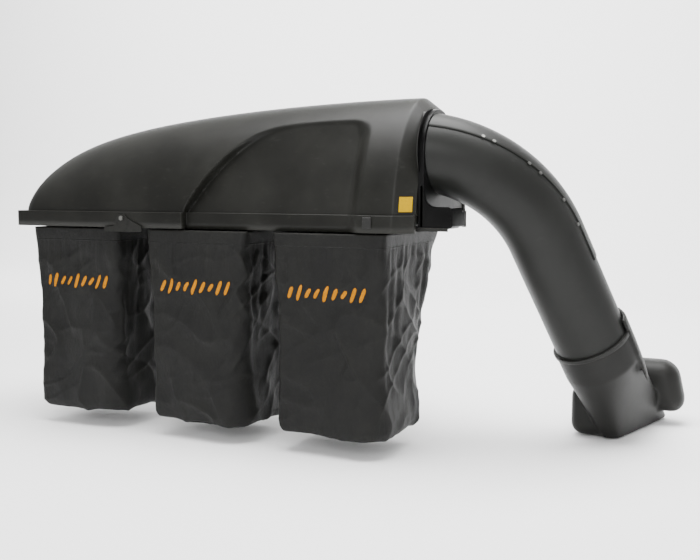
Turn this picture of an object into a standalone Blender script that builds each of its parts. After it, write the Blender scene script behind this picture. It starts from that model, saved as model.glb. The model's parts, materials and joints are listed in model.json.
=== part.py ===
"""Triple grass bagger for a riding mower: three cloth bags on a steel rack, a moulded hood that
opens over them, and the blower chute that runs from the hood's end down to the deck boot.
Metres. The origin is the centre of the hitch plate's mounting face. +X is to the right as seen
from behind the machine, +Y points forward to the machine, +Z is up."""

import math

import bmesh
import bpy
import numpy as np
from mathutils import Matrix, Vector

for old in list(bpy.data.objects):
    bpy.data.objects.remove(old, do_unlink=True)

# The rack frame: everything below is measured from the hood's rear lower edge
HOOD_REAR_Y = -0.56
HOOD_RIM_Z = 0.42
GAP = 0.0003

# Hood
HOOD_LEFT = -0.641
HOOD_CREASE = 0.586
HOOD_END = 0.634
HOOD_DEPTH = 0.49
HOOD_WALL = 0.004
RIM_HEIGHT = 0.045
RIM_LEDGE = 0.0095
RIM_CORNER = 0.006
DOME_CORNER = 0.045
DOME_HEIGHT = 0.3096
DOME_RISE = 1.715
DOME_NOSE = 3.863
ARCH_SIDE = 2.17
ARCH_TOP = 1.55
END_CHAMFER = 0.037
END_LIP = 0.012
ARCH_STEPS = 24
RECESS_LEFT = -0.045
RECESS_PEAK = 0.40
RECESS_RIGHT = 0.474
RECESS_HEIGHT = 0.248
RECESS_CURVE = 3.25
RECESS_RIM_DEPTH = 0.020
RECESS_SLOPE = 0.35
RECESS_EDGE = 0.012
NOSE_STEPS = 12
NOSE_REACH = 0.30

PATCH_X = 0.598
PATCH_LOW = 0.054
PATCH_WIDTH = 0.028
PATCH_HEIGHT = 0.038
PATCH_THICK = 0.0006

# Rack
RAIL = 0.025
RAIL_REAR = 0.030
RAIL_INSET = 0.046
RAIL_FRONT = HOOD_DEPTH - 0.045
UPRIGHT_X = 0.19
UPRIGHT_WIDTH = 0.040
UPRIGHT_LENGTH = 0.480
HITCH_ARM = 0.040
HITCH_PLATE = 0.008
HITCH_WIDTH = 0.46
HITCH_HEIGHT = 0.10
HITCH_HOLE = 0.0065
HITCH_HOLE_X = 0.14
HITCH_HOLE_Z = 0.030
GUSSET = 0.003
GUSSET_WIDTH = 0.090
GUSSET_DROP = 0.090
GUSSET_TOP = 0.022
BOLT_INSET = 0.020
BOLT_HEAD = 0.009
BOLT_HIGH = 0.006

# Bags
BAG_COUNT = 3
BAG_PITCH = 0.415
BAG_MIDDLE = -0.010
BAG_WIDTH = 0.320
BAG_DEPTH = HOOD_DEPTH - 0.065
BAG_HEIGHT = 0.545
BAG_WALL = 0.004
BAG_CORNER = 0.028
BAG_REAR = 0.006
BAG_TOP = -0.004
BAG_SIDES = 6
HOOP_BAR = 0.008
HOOP_DROP = 0.012
HANGER_WIDTH = 0.030
HANGER_THICK = 0.003
HANGER_TOP = -0.0003
HANGER_X = 0.10
HANGER_DEEP = 0.006
HANGER_STOP = 0.004
LAP = 0.001
RAIL_EDGE = 0.002

# Hinge and latch
HINGE_X = 0.35
HINGE_Y = HOOD_DEPTH + 0.012
HINGE_Z = -0.002
HINGE_KNUCKLE = 0.006
HINGE_PIN = 0.003
RUNNING_GAP = 0.0001
HINGE_WIDTH = 0.060
HINGE_MIDDLE = 0.026
LEAF = 0.003
LEAF_HEIGHT = 0.038
LEAF_FOOT = 0.0005
LEAF_SHELF = 0.0034
LEAF_PLATE_FOOT = 0.002
SLOT_REAR = 0.0075
SLOT_TOP = 0.0085
THROUGH = 0.02
LATCH_X = -0.247
LATCH_Z = 0.027
LATCH_PLATE = 0.003
LATCH_BOLT = 0.004
LATCH_HEAD = 0.007
KEEPER_X = -0.290
KEEPER_WIDTH = 0.030
KEEPER_FOOT = -0.003
KEEPER_TOP = 0.020
KEEPER_REAR = 0.005
LATCH_OUTLINE = (
    (-0.309, -0.012),
    (-0.178, -0.012),
    (-0.178, 0.004),
    (-0.226, 0.026),
    (-0.236, 0.037),
    (-0.256, 0.038),
    (-0.266, 0.027),
    (-0.276, 0.004),
    (-0.309, 0.001),
)
HOOK_X = 0.520
HOOK_HALF = 0.012
HOOK_THICK = 0.004
HOOK_LOW = 0.012
HOOK_HIGH = 0.040

# Chute: a straight start, one bend and a straight run down to the boot
CHUTE_RADIUS = 0.10155
CHUTE_WALL = 0.0035
CHUTE_START = Vector((0.5812, 0.1519, 0.2090))
CHUTE_AIM = math.radians(19.4)
CHUTE_DROP = math.radians(-1.5)
CHUTE_BEND = 0.4037
CHUTE_END_AIM = math.radians(51.9)
CHUTE_END_DROP = math.radians(-60.3)
CHUTE_RUN = 0.415
CHUTE_JOINT = 0.180
CHUTE_BACK = 0.08
CHUTE_SIDES = 32
BEND_STEPS = 14
COVER_FACETS = 6
COVER_THICK = 0.003
COVER_FIRST_STEP = 2
COVER_TAIL = 0.10
COVER_SCREWS = (21.5, 25.0, 37.5, 42.0, 53.0, 62.0)
SCREW_HEAD = 0.005
SCREW_HIGH = 0.0025

# Inlet housing at the hood's open end
INLET_FACE = 0.0005
INLET_PLATE = 0.0155
INLET_REAR = 0.060
INLET_COLLAR = 0.007
COLLAR_LENGTH = 0.050
SHELF_LENGTH = 0.075
SHELF_DEPTH = 0.105
SHELF_HEIGHT = 0.066
SHELF_ROUND = 0.004
POCKET_ROUND = 0.006
INLET_FOOT = 0.0148
BRACKET_THICK = 0.003
BRACKET_LIP = 0.0095
PANEL_THICK = 0.004
PANEL_FOOT = 0.022
PANEL_HOLE = 0.080
PANEL_HOLE_Y = 0.1819
PANEL_HOLE_Z = 0.204
BRACKET_REAR = 0.002
BRACKET_SHORT = 0.010
POCKET_FOOT = 0.030
POCKET_WALL = 0.010
COLLAR_TUCK = 0.004

# Boot
BOOT_WALL = 0.004
BOOT_LIP = 0.012
BOOT_LIP_OUT = 0.004
BOOT_SLEEVE = 0.085
BOOT_OVERLAP = 0.082
BOOT_FLOOR = -0.600
BOOT_LEVELS = (0.33, 0.67, 1.0)
BOOT_CORNERS = ((1.166, 0.884), (1.030, 0.892), (1.026, 0.525), (1.070, 0.535))
TONGUE_START = 0.295
TONGUE_END = 0.500
TONGUE_THICK = 0.012
TONGUE_FACETS = (-2, 5)
RIGHT_LOBE_LOW = Vector((1.030, 0.745, -0.563))
RIGHT_LOBE_HIGH = Vector((1.226, 0.8615, -0.4085))
RIGHT_LOBE_ROUND = 0.046
RIGHT_LOBE_LEAN = 0.0335
LEFT_LOBE_LOW = Vector((0.930, 0.520, -0.599))
LEFT_LOBE_HIGH = Vector((1.080, 0.870, -0.452))
LEFT_LOBE_ROUND = 0.034
MOUTH_LOW = Vector((0.880, 0.570, -0.560))
MOUTH_HIGH = Vector((0.960, 0.820, -0.490))


def place(x, y, z):
    """A point given from the hood's rear lower edge, in the part's frame."""
    return Vector((x, y + HOOD_REAR_Y, z + HOOD_RIM_Z))


def material(name, colour, roughness, metallic=0.0):
    made = bpy.data.materials.new(name)
    made.use_nodes = True
    shader = made.node_tree.nodes["Principled BSDF"]
    shader.inputs["Base Color"].default_value = (*colour, 1.0)
    shader.inputs["Roughness"].default_value = roughness
    shader.inputs["Metallic"].default_value = metallic
    return made


HOOD_PLASTIC = (0.045, 0.045, 0.040)
TUBE_PLASTIC = (0.035, 0.036, 0.036)
GLOSS_PLASTIC = (0.010, 0.010, 0.011)
BAG_CLOTH = (0.022, 0.022, 0.022)
BLACK_STEEL = (0.018, 0.018, 0.019)
GREY_STEEL = (0.20, 0.20, 0.19)
ZINC = (0.55, 0.55, 0.53)
PATCH_YELLOW = (0.80, 0.60, 0.04)


def slab_mesh(low_x, high_x):
    """A block between two planes across X, as deep and high as the hood is long, for trimming."""
    reach = HOOD_END - HOOD_LEFT
    return box_mesh(place(low_x, -reach, -reach), place(high_x, reach, reach))


def pivot(name, point):
    """An empty on a joint's axis, which carries the pieces that turn about it."""
    empty = bpy.data.objects.new(name, None)
    empty.location = point
    bpy.context.scene.collection.objects.link(empty)
    return empty


def new_object(name, mesh, look, carrier=None):
    """One named piece from a mesh in the part's frame, with its own material."""
    obj = bpy.data.objects.new(name, mesh)
    bpy.context.scene.collection.objects.link(obj)
    if carrier is not None:
        mesh.transform(Matrix.Translation(-carrier.location))
        obj.parent = carrier
    if look is not None:
        mesh.materials.append(material(name + "_finish", *look))
    return obj


def mesh_from(name, points, faces):
    mesh = bpy.data.meshes.new(name)
    mesh.from_pydata([tuple(p) for p in points], [], faces)
    made = bmesh.new()
    made.from_mesh(mesh)
    bmesh.ops.remove_doubles(made, verts=made.verts, dist=1e-6)
    bmesh.ops.recalc_face_normals(made, faces=made.faces)
    made.to_mesh(mesh)
    made.free()
    return mesh


def box_mesh(low, high, bevel=0.0, segments=2):
    """A box between two corners, with its edges rounded if a bevel is given."""
    made = bmesh.new()
    bmesh.ops.create_cube(made, size=1.0)
    for vert in made.verts:
        vert.co = Vector(
            [low[k] + (high[k] - low[k]) * (vert.co[k] + 0.5) for k in range(3)]
        )
    if bevel:
        bmesh.ops.bevel(
            made,
            geom=made.edges[:],
            offset=bevel,
            segments=segments,
            affect="EDGES",
            profile=0.5,
        )
    mesh = bpy.data.meshes.new("box")
    made.to_mesh(mesh)
    made.free()
    return mesh


def local_box(low, high, bevel=0.0, segments=2):
    return box_mesh(place(*low), place(*high), bevel, segments)


def rod_mesh(start, end, radius, sides=16):
    """A round or many-sided bar between two points."""
    start, end = Vector(start), Vector(end)
    along = end - start
    made = bmesh.new()
    bmesh.ops.create_cone(
        made,
        cap_ends=True,
        segments=sides,
        radius1=radius,
        radius2=radius,
        depth=along.length,
    )
    turn = Vector((0, 0, 1)).rotation_difference(along).to_matrix().to_4x4()
    bmesh.ops.transform(
        made, matrix=Matrix.Translation((start + end) / 2) @ turn, verts=made.verts
    )
    mesh = bpy.data.meshes.new("rod")
    made.to_mesh(mesh)
    made.free()
    return mesh


def plate_mesh(outline, low_y, high_y):
    """A flat plate in the XZ plane from an outline of (x, z) pairs."""
    count = len(outline)
    points = [place(x, low_y, z) for x, z in outline]
    points += [place(x, high_y, z) for x, z in outline]
    faces = [tuple(range(count)), tuple(range(2 * count - 1, count - 1, -1))]
    for i in range(count):
        j = (i + 1) % count
        faces.append((i, i + count, j + count, j))
    return mesh_from("plate", points, faces)


def combine(obj, mesh, operation):
    """Joins a mesh to a piece, or cuts it away, with a helper that stays out of the model."""
    helper = new_object(obj.name + "_helper", mesh, None)
    helper.hide_render = True
    helper.display_type = "WIRE"
    boolean = obj.modifiers.new("combine", "BOOLEAN")
    boolean.operation = operation
    boolean.object = helper
    boolean.solver = "EXACT"
    return helper


def join(obj, mesh, carrier=None):
    helper = combine(obj, mesh, "UNION")
    if carrier is not None:
        mesh.transform(Matrix.Translation(-carrier.location))
        helper.parent = carrier


def cut(obj, mesh, carrier=None):
    helper = combine(obj, mesh, "DIFFERENCE")
    if carrier is not None:
        mesh.transform(Matrix.Translation(-carrier.location))
        helper.parent = carrier


def smooth(obj, degrees=35):
    obj.data.shade_smooth()
    obj.data.set_sharp_from_angle(angle=math.radians(degrees))


def ease(value):
    """A soft step from 0 to 1."""
    value = min(max(value, 0.0), 1.0)
    return value * value * (3 - 2 * value)


# Hood surface
RIM_HALF = HOOD_DEPTH / 2
DOME_LEFT = HOOD_LEFT + RIM_LEDGE
DOME_HALF = RIM_HALF - RIM_LEDGE


def chamfer(x):
    run = (x - HOOD_CREASE) / (HOOD_END - HOOD_CREASE)
    return END_CHAMFER * min(max(run, 0.0), 1.0)


def corner_half(x, left, half, radius):
    """Half the depth of a plan outline whose left corners are rounded."""
    over = left + radius - x
    if over <= 0:
        return half
    return half - radius + math.sqrt(max(radius**2 - min(over, radius) ** 2, 0.0))


def crown(x, inset):
    """Height of the dome's crown over the rim."""
    left = DOME_LEFT + inset
    reach = min(max((HOOD_CREASE - x) / (HOOD_CREASE - left), 0.0), 1.0)
    full = DOME_HEIGHT * (1 - reach**DOME_RISE) ** (1 / DOME_NOSE)
    return max(full - inset * min(full / DOME_HEIGHT * 4, 1.0) - chamfer(x), 0.0)


def recess_mask(x, z):
    """1 inside the arched panel of the rear face and 0 outside it."""
    side = ease((RECESS_RIGHT - x) / RECESS_EDGE + 0.5)
    run = (RECESS_PEAK - x) / (RECESS_PEAK - RECESS_LEFT)
    if run >= 1:
        return 0.0
    top = RIM_HEIGHT + RECESS_HEIGHT * (1 - max(run, 0.0) ** RECESS_CURVE)
    left = ease((x - RECESS_LEFT) / RECESS_EDGE)
    return side * left * ease((top - max(z, RIM_HEIGHT)) / RECESS_EDGE + 0.5)


def pushed_in(x, y, z, inset):
    """The rear wall's point, moved in where the arched panel is."""
    if z <= RIM_HEIGHT:
        panel = RECESS_RIM_DEPTH
    else:
        panel = RECESS_RIM_DEPTH + RIM_LEDGE + (z - RIM_HEIGHT) * RECESS_SLOPE
    depth = max(panel + inset - (y + RIM_HALF), 0.0)
    return y + recess_mask(x, z) * depth


def hood_section(x, inset, extra=0.0):
    """The hood's outline at x, from the rear lower edge over the crown to the front one."""
    shrink = inset + extra + chamfer(x)
    rim = corner_half(x, HOOD_LEFT + inset, RIM_HALF - shrink, RIM_CORNER)
    dome = corner_half(x, DOME_LEFT + inset, DOME_HALF - shrink, DOME_CORNER)
    high = max(crown(x, inset) - extra, 0.0)
    ledge = RIM_HEIGHT - inset
    outline = [(-rim, 0.0), (-rim, ledge)]
    for k in range(ARCH_STEPS + 1):
        angle = math.pi * k / ARCH_STEPS
        side, up = math.cos(angle), max(math.sin(angle), 0.0)
        y = -math.copysign(abs(side) ** (2 / ARCH_SIDE), side) * dome
        outline.append((y, ledge + high * up ** (2 / ARCH_TOP)))
    outline += [(rim, ledge), (rim, 0.0)]
    moved = []
    for y, z in outline:
        if y < 0:
            y = pushed_in(x, y, z, inset)
        moved.append((y, z))
    return moved


def dome_rear(x, z):
    """Distance of the dome's rear wall from the hood's rear face, at a height."""
    share = min(max((z - RIM_HEIGHT) / crown(x, 0.0), 0.0), 1.0)
    side = (1 - share**ARCH_TOP) ** (1 / ARCH_SIDE)
    return RIM_HALF - (DOME_HALF - chamfer(x)) * side


def hood_stations():
    """Where along X the hood's outline is taken: close together at the nose and the recess."""
    nose = [HOOD_LEFT, HOOD_LEFT + 0.004]
    nose += [DOME_LEFT + NOSE_REACH * (k / NOSE_STEPS) ** 2 for k in range(NOSE_STEPS + 1)]
    middle = list(np.linspace(-0.28, RECESS_LEFT, 7)) + [RECESS_LEFT + RECESS_EDGE]
    middle += list(np.linspace(0.0, RECESS_RIGHT - RECESS_EDGE, 14))
    right = [RECESS_RIGHT, RECESS_RIGHT + RECESS_EDGE, 0.53, HOOD_CREASE]
    return nose + middle + right


def hood_mesh():
    """The hood as one moulded skin: outer and inner outlines joined round their edges."""
    stations = hood_stations() + [HOOD_END]
    outer = [hood_section(x, 0.0) for x in stations]
    outer_x = list(stations)
    outer.append(hood_section(HOOD_END, 0.0, END_LIP))
    outer_x.append(HOOD_END)
    inner_x = [x + HOOD_WALL if k < 2 else x for k, x in enumerate(stations)]
    inner_x[-1] = HOOD_END - HOOD_WALL
    inner = [hood_section(x, HOOD_WALL) for x in inner_x]
    lip = END_LIP - HOOD_WALL + chamfer(HOOD_END) - chamfer(HOOD_END - HOOD_WALL)
    inner.append(hood_section(HOOD_END - HOOD_WALL, HOOD_WALL, lip))
    inner_x.append(HOOD_END - HOOD_WALL)
    rows, columns = len(outer), len(outer[0])
    points = []
    for xs, sections in ((outer_x, outer), (inner_x, inner)):
        for x, section in zip(xs, sections):
            points += [place(x, y + RIM_HALF, z) for y, z in section]
    shift = rows * columns
    faces = []
    for i in range(rows - 1):
        for j in range(columns - 1):
            a, b = i * columns + j, (i + 1) * columns + j
            faces.append((a, a + 1, b + 1, b))
            faces.append((a + shift, b + shift, b + 1 + shift, a + 1 + shift))
        for j in (0, columns - 1):
            a, b = i * columns + j, (i + 1) * columns + j
            faces.append((a, b, b + shift, a + shift))
    last = (rows - 1) * columns
    for j in range(columns - 1):
        a, b = last + j, last + j + 1
        faces.append((a, b, b + shift, a + shift))
    half = columns // 2
    for j in range(half):
        a, b = j, columns - 1 - j
        if b - 1 <= a + 1:
            faces.append((a, a + 1, b))
            faces.append((a + shift, b + shift, a + 1 + shift))
            break
        faces.append((a, a + 1, b - 1, b))
        faces.append((a + shift, b + shift, b - 1 + shift, a + 1 + shift))
    faces.append((0, columns - 1, columns - 1 + shift, shift))
    return mesh_from("hood", points, faces)


def arch_plate(x_low, x_high, inset, foot):
    """A flat plate that fills the hood's end arch, from foot upwards."""
    outline = [(y, max(z, foot)) for y, z in hood_section(HOOD_END, 0.0, inset)]
    outline = outline[1:-1]
    outline[0] = (outline[1][0], foot)
    outline[-1] = (outline[-2][0], foot)
    count = len(outline)
    points = [place(x_low, y + RIM_HALF, z) for y, z in outline]
    points += [place(x_high, y + RIM_HALF, z) for y, z in outline]
    faces = [tuple(range(count)), tuple(range(2 * count - 1, count - 1, -1))]
    for i in range(count):
        j = (i + 1) % count
        faces.append((i, i + count, j + count, j))
    return mesh_from("arch", points, faces)


# Chute path
def aim(turn, drop):
    return Vector(
        (
            math.cos(drop) * math.cos(turn),
            math.cos(drop) * math.sin(turn),
            math.sin(drop),
        )
    )


CHUTE_IN = aim(CHUTE_AIM, CHUTE_DROP)
CHUTE_OUT = aim(CHUTE_END_AIM, CHUTE_END_DROP)
BEND_ANGLE = CHUTE_IN.angle(CHUTE_OUT)
BEND_IN = (CHUTE_OUT - CHUTE_IN * CHUTE_IN.dot(CHUTE_OUT)).normalized()
BEND_SIDE = CHUTE_IN.cross(BEND_IN).normalized()
START = place(*CHUTE_START)


def bend_point(angle):
    """Centre line of the bend at an angle from its start, and the direction there."""
    centre = START + BEND_IN * CHUTE_BEND
    point = centre + (CHUTE_IN * math.sin(angle) - BEND_IN * math.cos(angle)) * CHUTE_BEND
    along = CHUTE_IN * math.cos(angle) + BEND_IN * math.sin(angle)
    return point, along


BEND_END = bend_point(BEND_ANGLE)[0]


def chute_path(start_back, end_run):
    """Centres and directions from before the bend to the lower end."""
    path = [(START - CHUTE_IN * start_back, CHUTE_IN)]
    path += [bend_point(BEND_ANGLE * k / BEND_STEPS) for k in range(BEND_STEPS + 1)]
    path.append((BEND_END + CHUTE_OUT * end_run, CHUTE_OUT))
    return path


def chute_frame(along):
    """The direction away from the bend's centre, and the one across it."""
    return along.cross(BEND_SIDE).normalized(), BEND_SIDE


def pipe_mesh(path, outer, inner, sides=CHUTE_SIDES):
    """A round pipe with an open bore along a path."""
    points = []
    for radius in (outer, inner):
        for centre, along in path:
            out, side = chute_frame(along)
            for k in range(sides):
                turn = 2 * math.pi * k / sides
                points.append(centre + (out * math.cos(turn) + side * math.sin(turn)) * radius)
    rings = len(path)
    shift = rings * sides
    faces = []
    for i in range(rings - 1):
        for k in range(sides):
            n = (k + 1) % sides
            a, b = i * sides, (i + 1) * sides
            faces.append((a + k, b + k, b + n, a + n))
            faces.append((a + k + shift, a + n + shift, b + n + shift, b + k + shift))
    for ring in (0, (rings - 1) * sides):
        for k in range(sides):
            n = (k + 1) % sides
            faces.append((ring + k, ring + n, ring + n + shift, ring + k + shift))
    return mesh_from("pipe", points, faces)


def core_mesh(path, radius, sides=CHUTE_SIDES):
    """A solid round bar along a path."""
    loops = []
    for centre, along in path:
        out, side = chute_frame(along)
        turns = [2 * math.pi * k / sides for k in range(sides)]
        loops.append([centre + (out * math.cos(t) + side * math.sin(t)) * radius for t in turns])
    return loft_mesh(loops)


def strip_mesh(path, low, high, first, last, across):
    """A strip of pipe wall along a path, between two radii and two angles round it."""
    points = []
    for radius in (high, low):
        for centre, along in path:
            out, side = chute_frame(along)
            for k in range(across + 1):
                turn = first + (last - first) * k / across
                points.append(centre + (out * math.cos(turn) + side * math.sin(turn)) * radius)
    width = across + 1
    rings = len(path)
    shift = rings * width
    faces = []
    for i in range(rings - 1):
        for k in range(across):
            a, b = i * width + k, (i + 1) * width + k
            faces.append((a, b, b + 1, a + 1))
            faces.append((a + shift, a + 1 + shift, b + 1 + shift, b + shift))
        for k in (0, across):
            a, b = i * width + k, (i + 1) * width + k
            faces.append((a, b, b + shift, a + shift))
    for ring in (0, (rings - 1) * width):
        for k in range(across):
            a = ring + k
            faces.append((a, a + 1, a + 1 + shift, a + shift))
    return mesh_from("strip", points, faces)


def loft_mesh(loops):
    """A closed solid through loops of equally many points, with flat ends."""
    count = len(loops[0])
    points = [point for loop in loops for point in loop]
    faces = [tuple(range(count))]
    for i in range(len(loops) - 1):
        for k in range(count):
            n = (k + 1) % count
            faces.append((i * count + k, (i + 1) * count + k, (i + 1) * count + n, i * count + n))
    last = (len(loops) - 1) * count
    faces.append(tuple(range(last + count - 1, last - 1, -1)))
    return mesh_from("loft", points, faces)


def build_hood(carrier):
    look = (HOOD_PLASTIC, 0.42)
    hood = new_object("hood_shell", hood_mesh(), look, carrier)
    smooth(hood, 30)
    back = HOOD_END - HOOD_WALL - GAP
    end_panel = new_object(
        "hood_end_panel",
        arch_plate(back - PANEL_THICK, back, 2 * HOOD_WALL, PANEL_FOOT),
        look,
        carrier,
    )
    middle = place(back, PANEL_HOLE_Y, PANEL_HOLE_Z)
    through = Vector((THROUGH, 0, 0))
    cut(end_panel, rod_mesh(middle - through, middle + through, PANEL_HOLE, 24), carrier)


def build_patch(carrier):
    """A small bare yellow film on the chamfered band of the end arch."""
    out = Vector((END_CHAMFER, HOOD_CREASE - HOOD_END, 0)).normalized()
    rows = 5
    points = []
    for level in (GAP + PATCH_THICK, GAP):
        for k in range(rows):
            z = PATCH_LOW + PATCH_HEIGHT * k / (rows - 1)
            for x in (PATCH_X, PATCH_X + PATCH_WIDTH):
                points.append(place(x, dome_rear(x, z), z) + out * level)
    shift = 2 * rows
    faces = []
    for k in range(rows - 1):
        a = 2 * k
        faces.append((a, a + 1, a + 3, a + 2))
        faces.append((a + shift, a + 2 + shift, a + 3 + shift, a + 1 + shift))
        faces.append((a, a + 2, a + 2 + shift, a + shift))
        faces.append((a + 1, a + 3, a + 3 + shift, a + 1 + shift))
    for a in (0, shift - 2):
        faces.append((a, a + 1, a + 1 + shift, a + shift))
    new_object("yellow_patch", mesh_from("patch", points, faces), (PATCH_YELLOW, 0.5), carrier)


def build_rack():
    steel = (BLACK_STEEL, 0.45, 0.3)
    left, right = HOOD_LEFT + RAIL_INSET - RAIL, HOOD_END - RAIL_INSET
    rear_inner = RAIL_REAR + RAIL
    front = RAIL_FRONT
    new_object("rear_rail", local_box((left, RAIL_REAR, 0), (right, rear_inner, RAIL), RAIL_EDGE), steel)
    new_object("front_rail", local_box((left, front, 0), (right, front + RAIL, RAIL), RAIL_EDGE), steel)
    for name, x in (("left_rail", left), ("right_rail", right - RAIL)):
        low = (x, rear_inner + GAP, 0)
        new_object(name, local_box(low, (x + RAIL, front - GAP, RAIL), RAIL_EDGE), steel)
    for k in range(BAG_COUNT - 1):
        x = BAG_MIDDLE + BAG_PITCH * (k - (BAG_COUNT - 2) / 2)
        low = (x - RAIL / 2, rear_inner + GAP, 0)
        high = (x + RAIL / 2, front - GAP, RAIL)
        new_object(f"cross_rail_{k + 1}", local_box(low, high, RAIL_EDGE), steel)
    plate_front = -HOOD_REAR_Y
    for side, name in ((-1, "left"), (1, "right")):
        x = side * UPRIGHT_X
        half = UPRIGHT_WIDTH / 2
        low = (x - half, front, -UPRIGHT_LENGTH)
        new_object(f"upright_{name}", local_box(low, (x + half, front + RAIL, -GAP), RAIL_EDGE), steel)
        low = (x - half, front + RAIL + GAP, -HOOD_RIM_Z - HITCH_ARM / 2)
        high = (x + half, plate_front - HITCH_PLATE - GAP, -HOOD_RIM_Z + HITCH_ARM / 2)
        new_object(f"hitch_arm_{name}", local_box(low, high, RAIL_EDGE), steel)
        face = front + RAIL + GAP
        low = (x - GUSSET_WIDTH / 2, face, -GUSSET_DROP)
        high = (x + GUSSET_WIDTH / 2, face + GUSSET, GUSSET_TOP)
        new_object(f"upright_bracket_{name}", local_box(low, high), steel)
        for row, z in enumerate((RAIL / 2, BOLT_INSET - GUSSET_DROP)):
            seat = place(x, face + GUSSET + GAP, z)
            top = seat + Vector((0, BOLT_HIGH, 0))
            bolt = rod_mesh(seat, top, BOLT_HEAD, 6)
            new_object(f"bracket_bolt_{name}_{row + 1}", bolt, (ZINC, 0.35, 0.9))
    low = (-HITCH_WIDTH / 2, plate_front - HITCH_PLATE, -HOOD_RIM_Z - HITCH_HEIGHT / 2)
    high = (HITCH_WIDTH / 2, plate_front, -HOOD_RIM_Z + HITCH_HEIGHT / 2)
    plate = new_object("hitch_plate", local_box(low, high), steel)
    for x in (-HITCH_HOLE_X, HITCH_HOLE_X):
        for z in (-HITCH_HOLE_Z, HITCH_HOLE_Z):
            cut(plate, rod_mesh((x, -THROUGH, z), (x, THROUGH, z), HITCH_HOLE, 16))


def rounded_loop(centre_x, low_y, high_y, width, corner, z):
    """A rounded rectangle in plan, as a loop of points."""
    middle_y = (low_y + high_y) / 2
    half_x, half_y = width / 2 - corner, (high_y - low_y) / 2 - corner
    loop = []
    for sx, sy, first in ((1, -1, -90), (1, 1, 0), (-1, 1, 90), (-1, -1, 180)):
        for k in range(BAG_SIDES):
            turn = math.radians(first + 90 * k / (BAG_SIDES - 1))
            x = centre_x + sx * half_x + corner * math.cos(turn)
            y = middle_y + sy * half_y + corner * math.sin(turn)
            loop.append(place(x, y, z))
    return loop


# How far each level of a bag draws in: share of the height, each side, rear, front
BAG_PROFILE = (
    (0.00, 0.000, 0.000, 0.000),
    (0.05, 0.000, 0.000, 0.000),
    (0.11, 0.005, 0.000, 0.032),
    (0.37, 0.012, 0.000, 0.071),
    (0.61, 0.012, 0.001, 0.122),
    (0.80, 0.010, 0.001, 0.142),
    (0.97, 0.006, 0.002, 0.142),
    (1.00, 0.018, 0.014, 0.156),
)


def bag_mesh(centre_x):
    """An open-topped cloth bag: down the outside, across the floor and up the inside."""
    loops = []
    for inner in (False, True):
        wall = BAG_WALL if inner else 0.0
        profile = BAG_PROFILE[::-1] if inner else BAG_PROFILE
        for share, side, rear, front in profile:
            z = BAG_TOP - BAG_HEIGHT * share + (wall if share == 1.0 else 0.0)
            low = BAG_REAR + rear + wall
            high = BAG_REAR + BAG_DEPTH - front - wall
            width = BAG_WIDTH - 2 * side - 2 * wall
            loops.append(rounded_loop(centre_x, low, high, width, BAG_CORNER - wall, z))
    outer, inner = loops[: len(BAG_PROFILE)], loops[len(BAG_PROFILE) :]
    count = len(outer[0])
    points = [point for loop in outer + inner for point in loop]
    faces = []
    total = len(outer) + len(inner)
    for i in range(total - 1):
        if i == len(outer) - 1:
            faces.append(tuple(range(i * count, (i + 1) * count)))
            faces.append(tuple(range((i + 2) * count - 1, (i + 1) * count - 1, -1)))
            continue
        for k in range(count):
            n = (k + 1) % count
            faces.append((i * count + k, (i + 1) * count + k, (i + 1) * count + n, i * count + n))
    last = (total - 1) * count
    for k in range(count):
        n = (k + 1) % count
        faces.append((last + k, k, n, last + n))
    return mesh_from("bag", points, faces)


def ring_mesh(loops):
    """A closed ring: the loops joined in turn, and the last one to the first."""
    count = len(loops[0])
    points = [point for loop in loops for point in loop]
    faces = []
    for i in range(len(loops)):
        a, b = i * count, (i + 1) % len(loops) * count
        for k in range(count):
            n = (k + 1) % count
            faces.append((a + k, b + k, b + n, a + n))
    return mesh_from("ring", points, faces)


def bag_hoop(name, centre_x):
    """The steel hoop inside a bag's hem, with four hangers that go over the rails."""
    look = (BLACK_STEEL, 0.4, 0.3)
    top = BAG_TOP - HOOP_DROP
    inset = BAG_WALL + GAP
    rear, front = BAG_REAR + inset, BAG_REAR + BAG_DEPTH - inset
    loops = []
    for bar, z in ((0, top), (0, top - HOOP_BAR), (HOOP_BAR, top - HOOP_BAR), (HOOP_BAR, top)):
        width = BAG_WIDTH - 2 * (inset + bar)
        corner = BAG_CORNER - inset - bar
        loops.append(rounded_loop(centre_x, rear + bar, front - bar, width, corner, z))
    hoop = new_object(name, ring_mesh(loops), look)
    bend_low, bend_high = top - HANGER_DEEP, top - HANGER_THICK
    over = RAIL + GAP
    over_high = over + HANGER_THICK
    rear_seat = RAIL_REAR + RAIL + GAP
    front_seat = RAIL_FRONT - GAP
    step = front - (HOOP_BAR + HANGER_THICK) / 2
    for x in (centre_x - HANGER_X, centre_x + HANGER_X):
        steps = (
            (rear + 2 * LAP, rear_seat + HANGER_THICK, bend_low, bend_high),
            (rear_seat, rear_seat + HANGER_THICK, bend_low, over_high),
            (RAIL_REAR + HANGER_STOP, rear_seat + LAP, over, over_high),
            (step, step + HANGER_THICK, bend_low, HANGER_TOP),
            (step, front_seat, HANGER_TOP - HANGER_THICK, HANGER_TOP),
            (front_seat - HANGER_THICK, front_seat, HANGER_TOP - HANGER_THICK, over_high),
            (front_seat - LAP, RAIL_FRONT + RAIL - HANGER_STOP, over, over_high),
        )
        for low_y, high_y, low_z, high_z in steps:
            low = (x - HANGER_WIDTH / 2, low_y, low_z)
            join(hoop, local_box(low, (x + HANGER_WIDTH / 2, high_y, high_z)))


def build_bags():
    for k, name in enumerate(("left", "middle", "right")):
        centre_x = BAG_MIDDLE + BAG_PITCH * (k - 1)
        bag = new_object(f"bag_{name}", bag_mesh(centre_x), (BAG_CLOTH, 0.8))
        smooth(bag, 50)
        bag_hoop(f"bag_hoop_{name}", centre_x)


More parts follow.
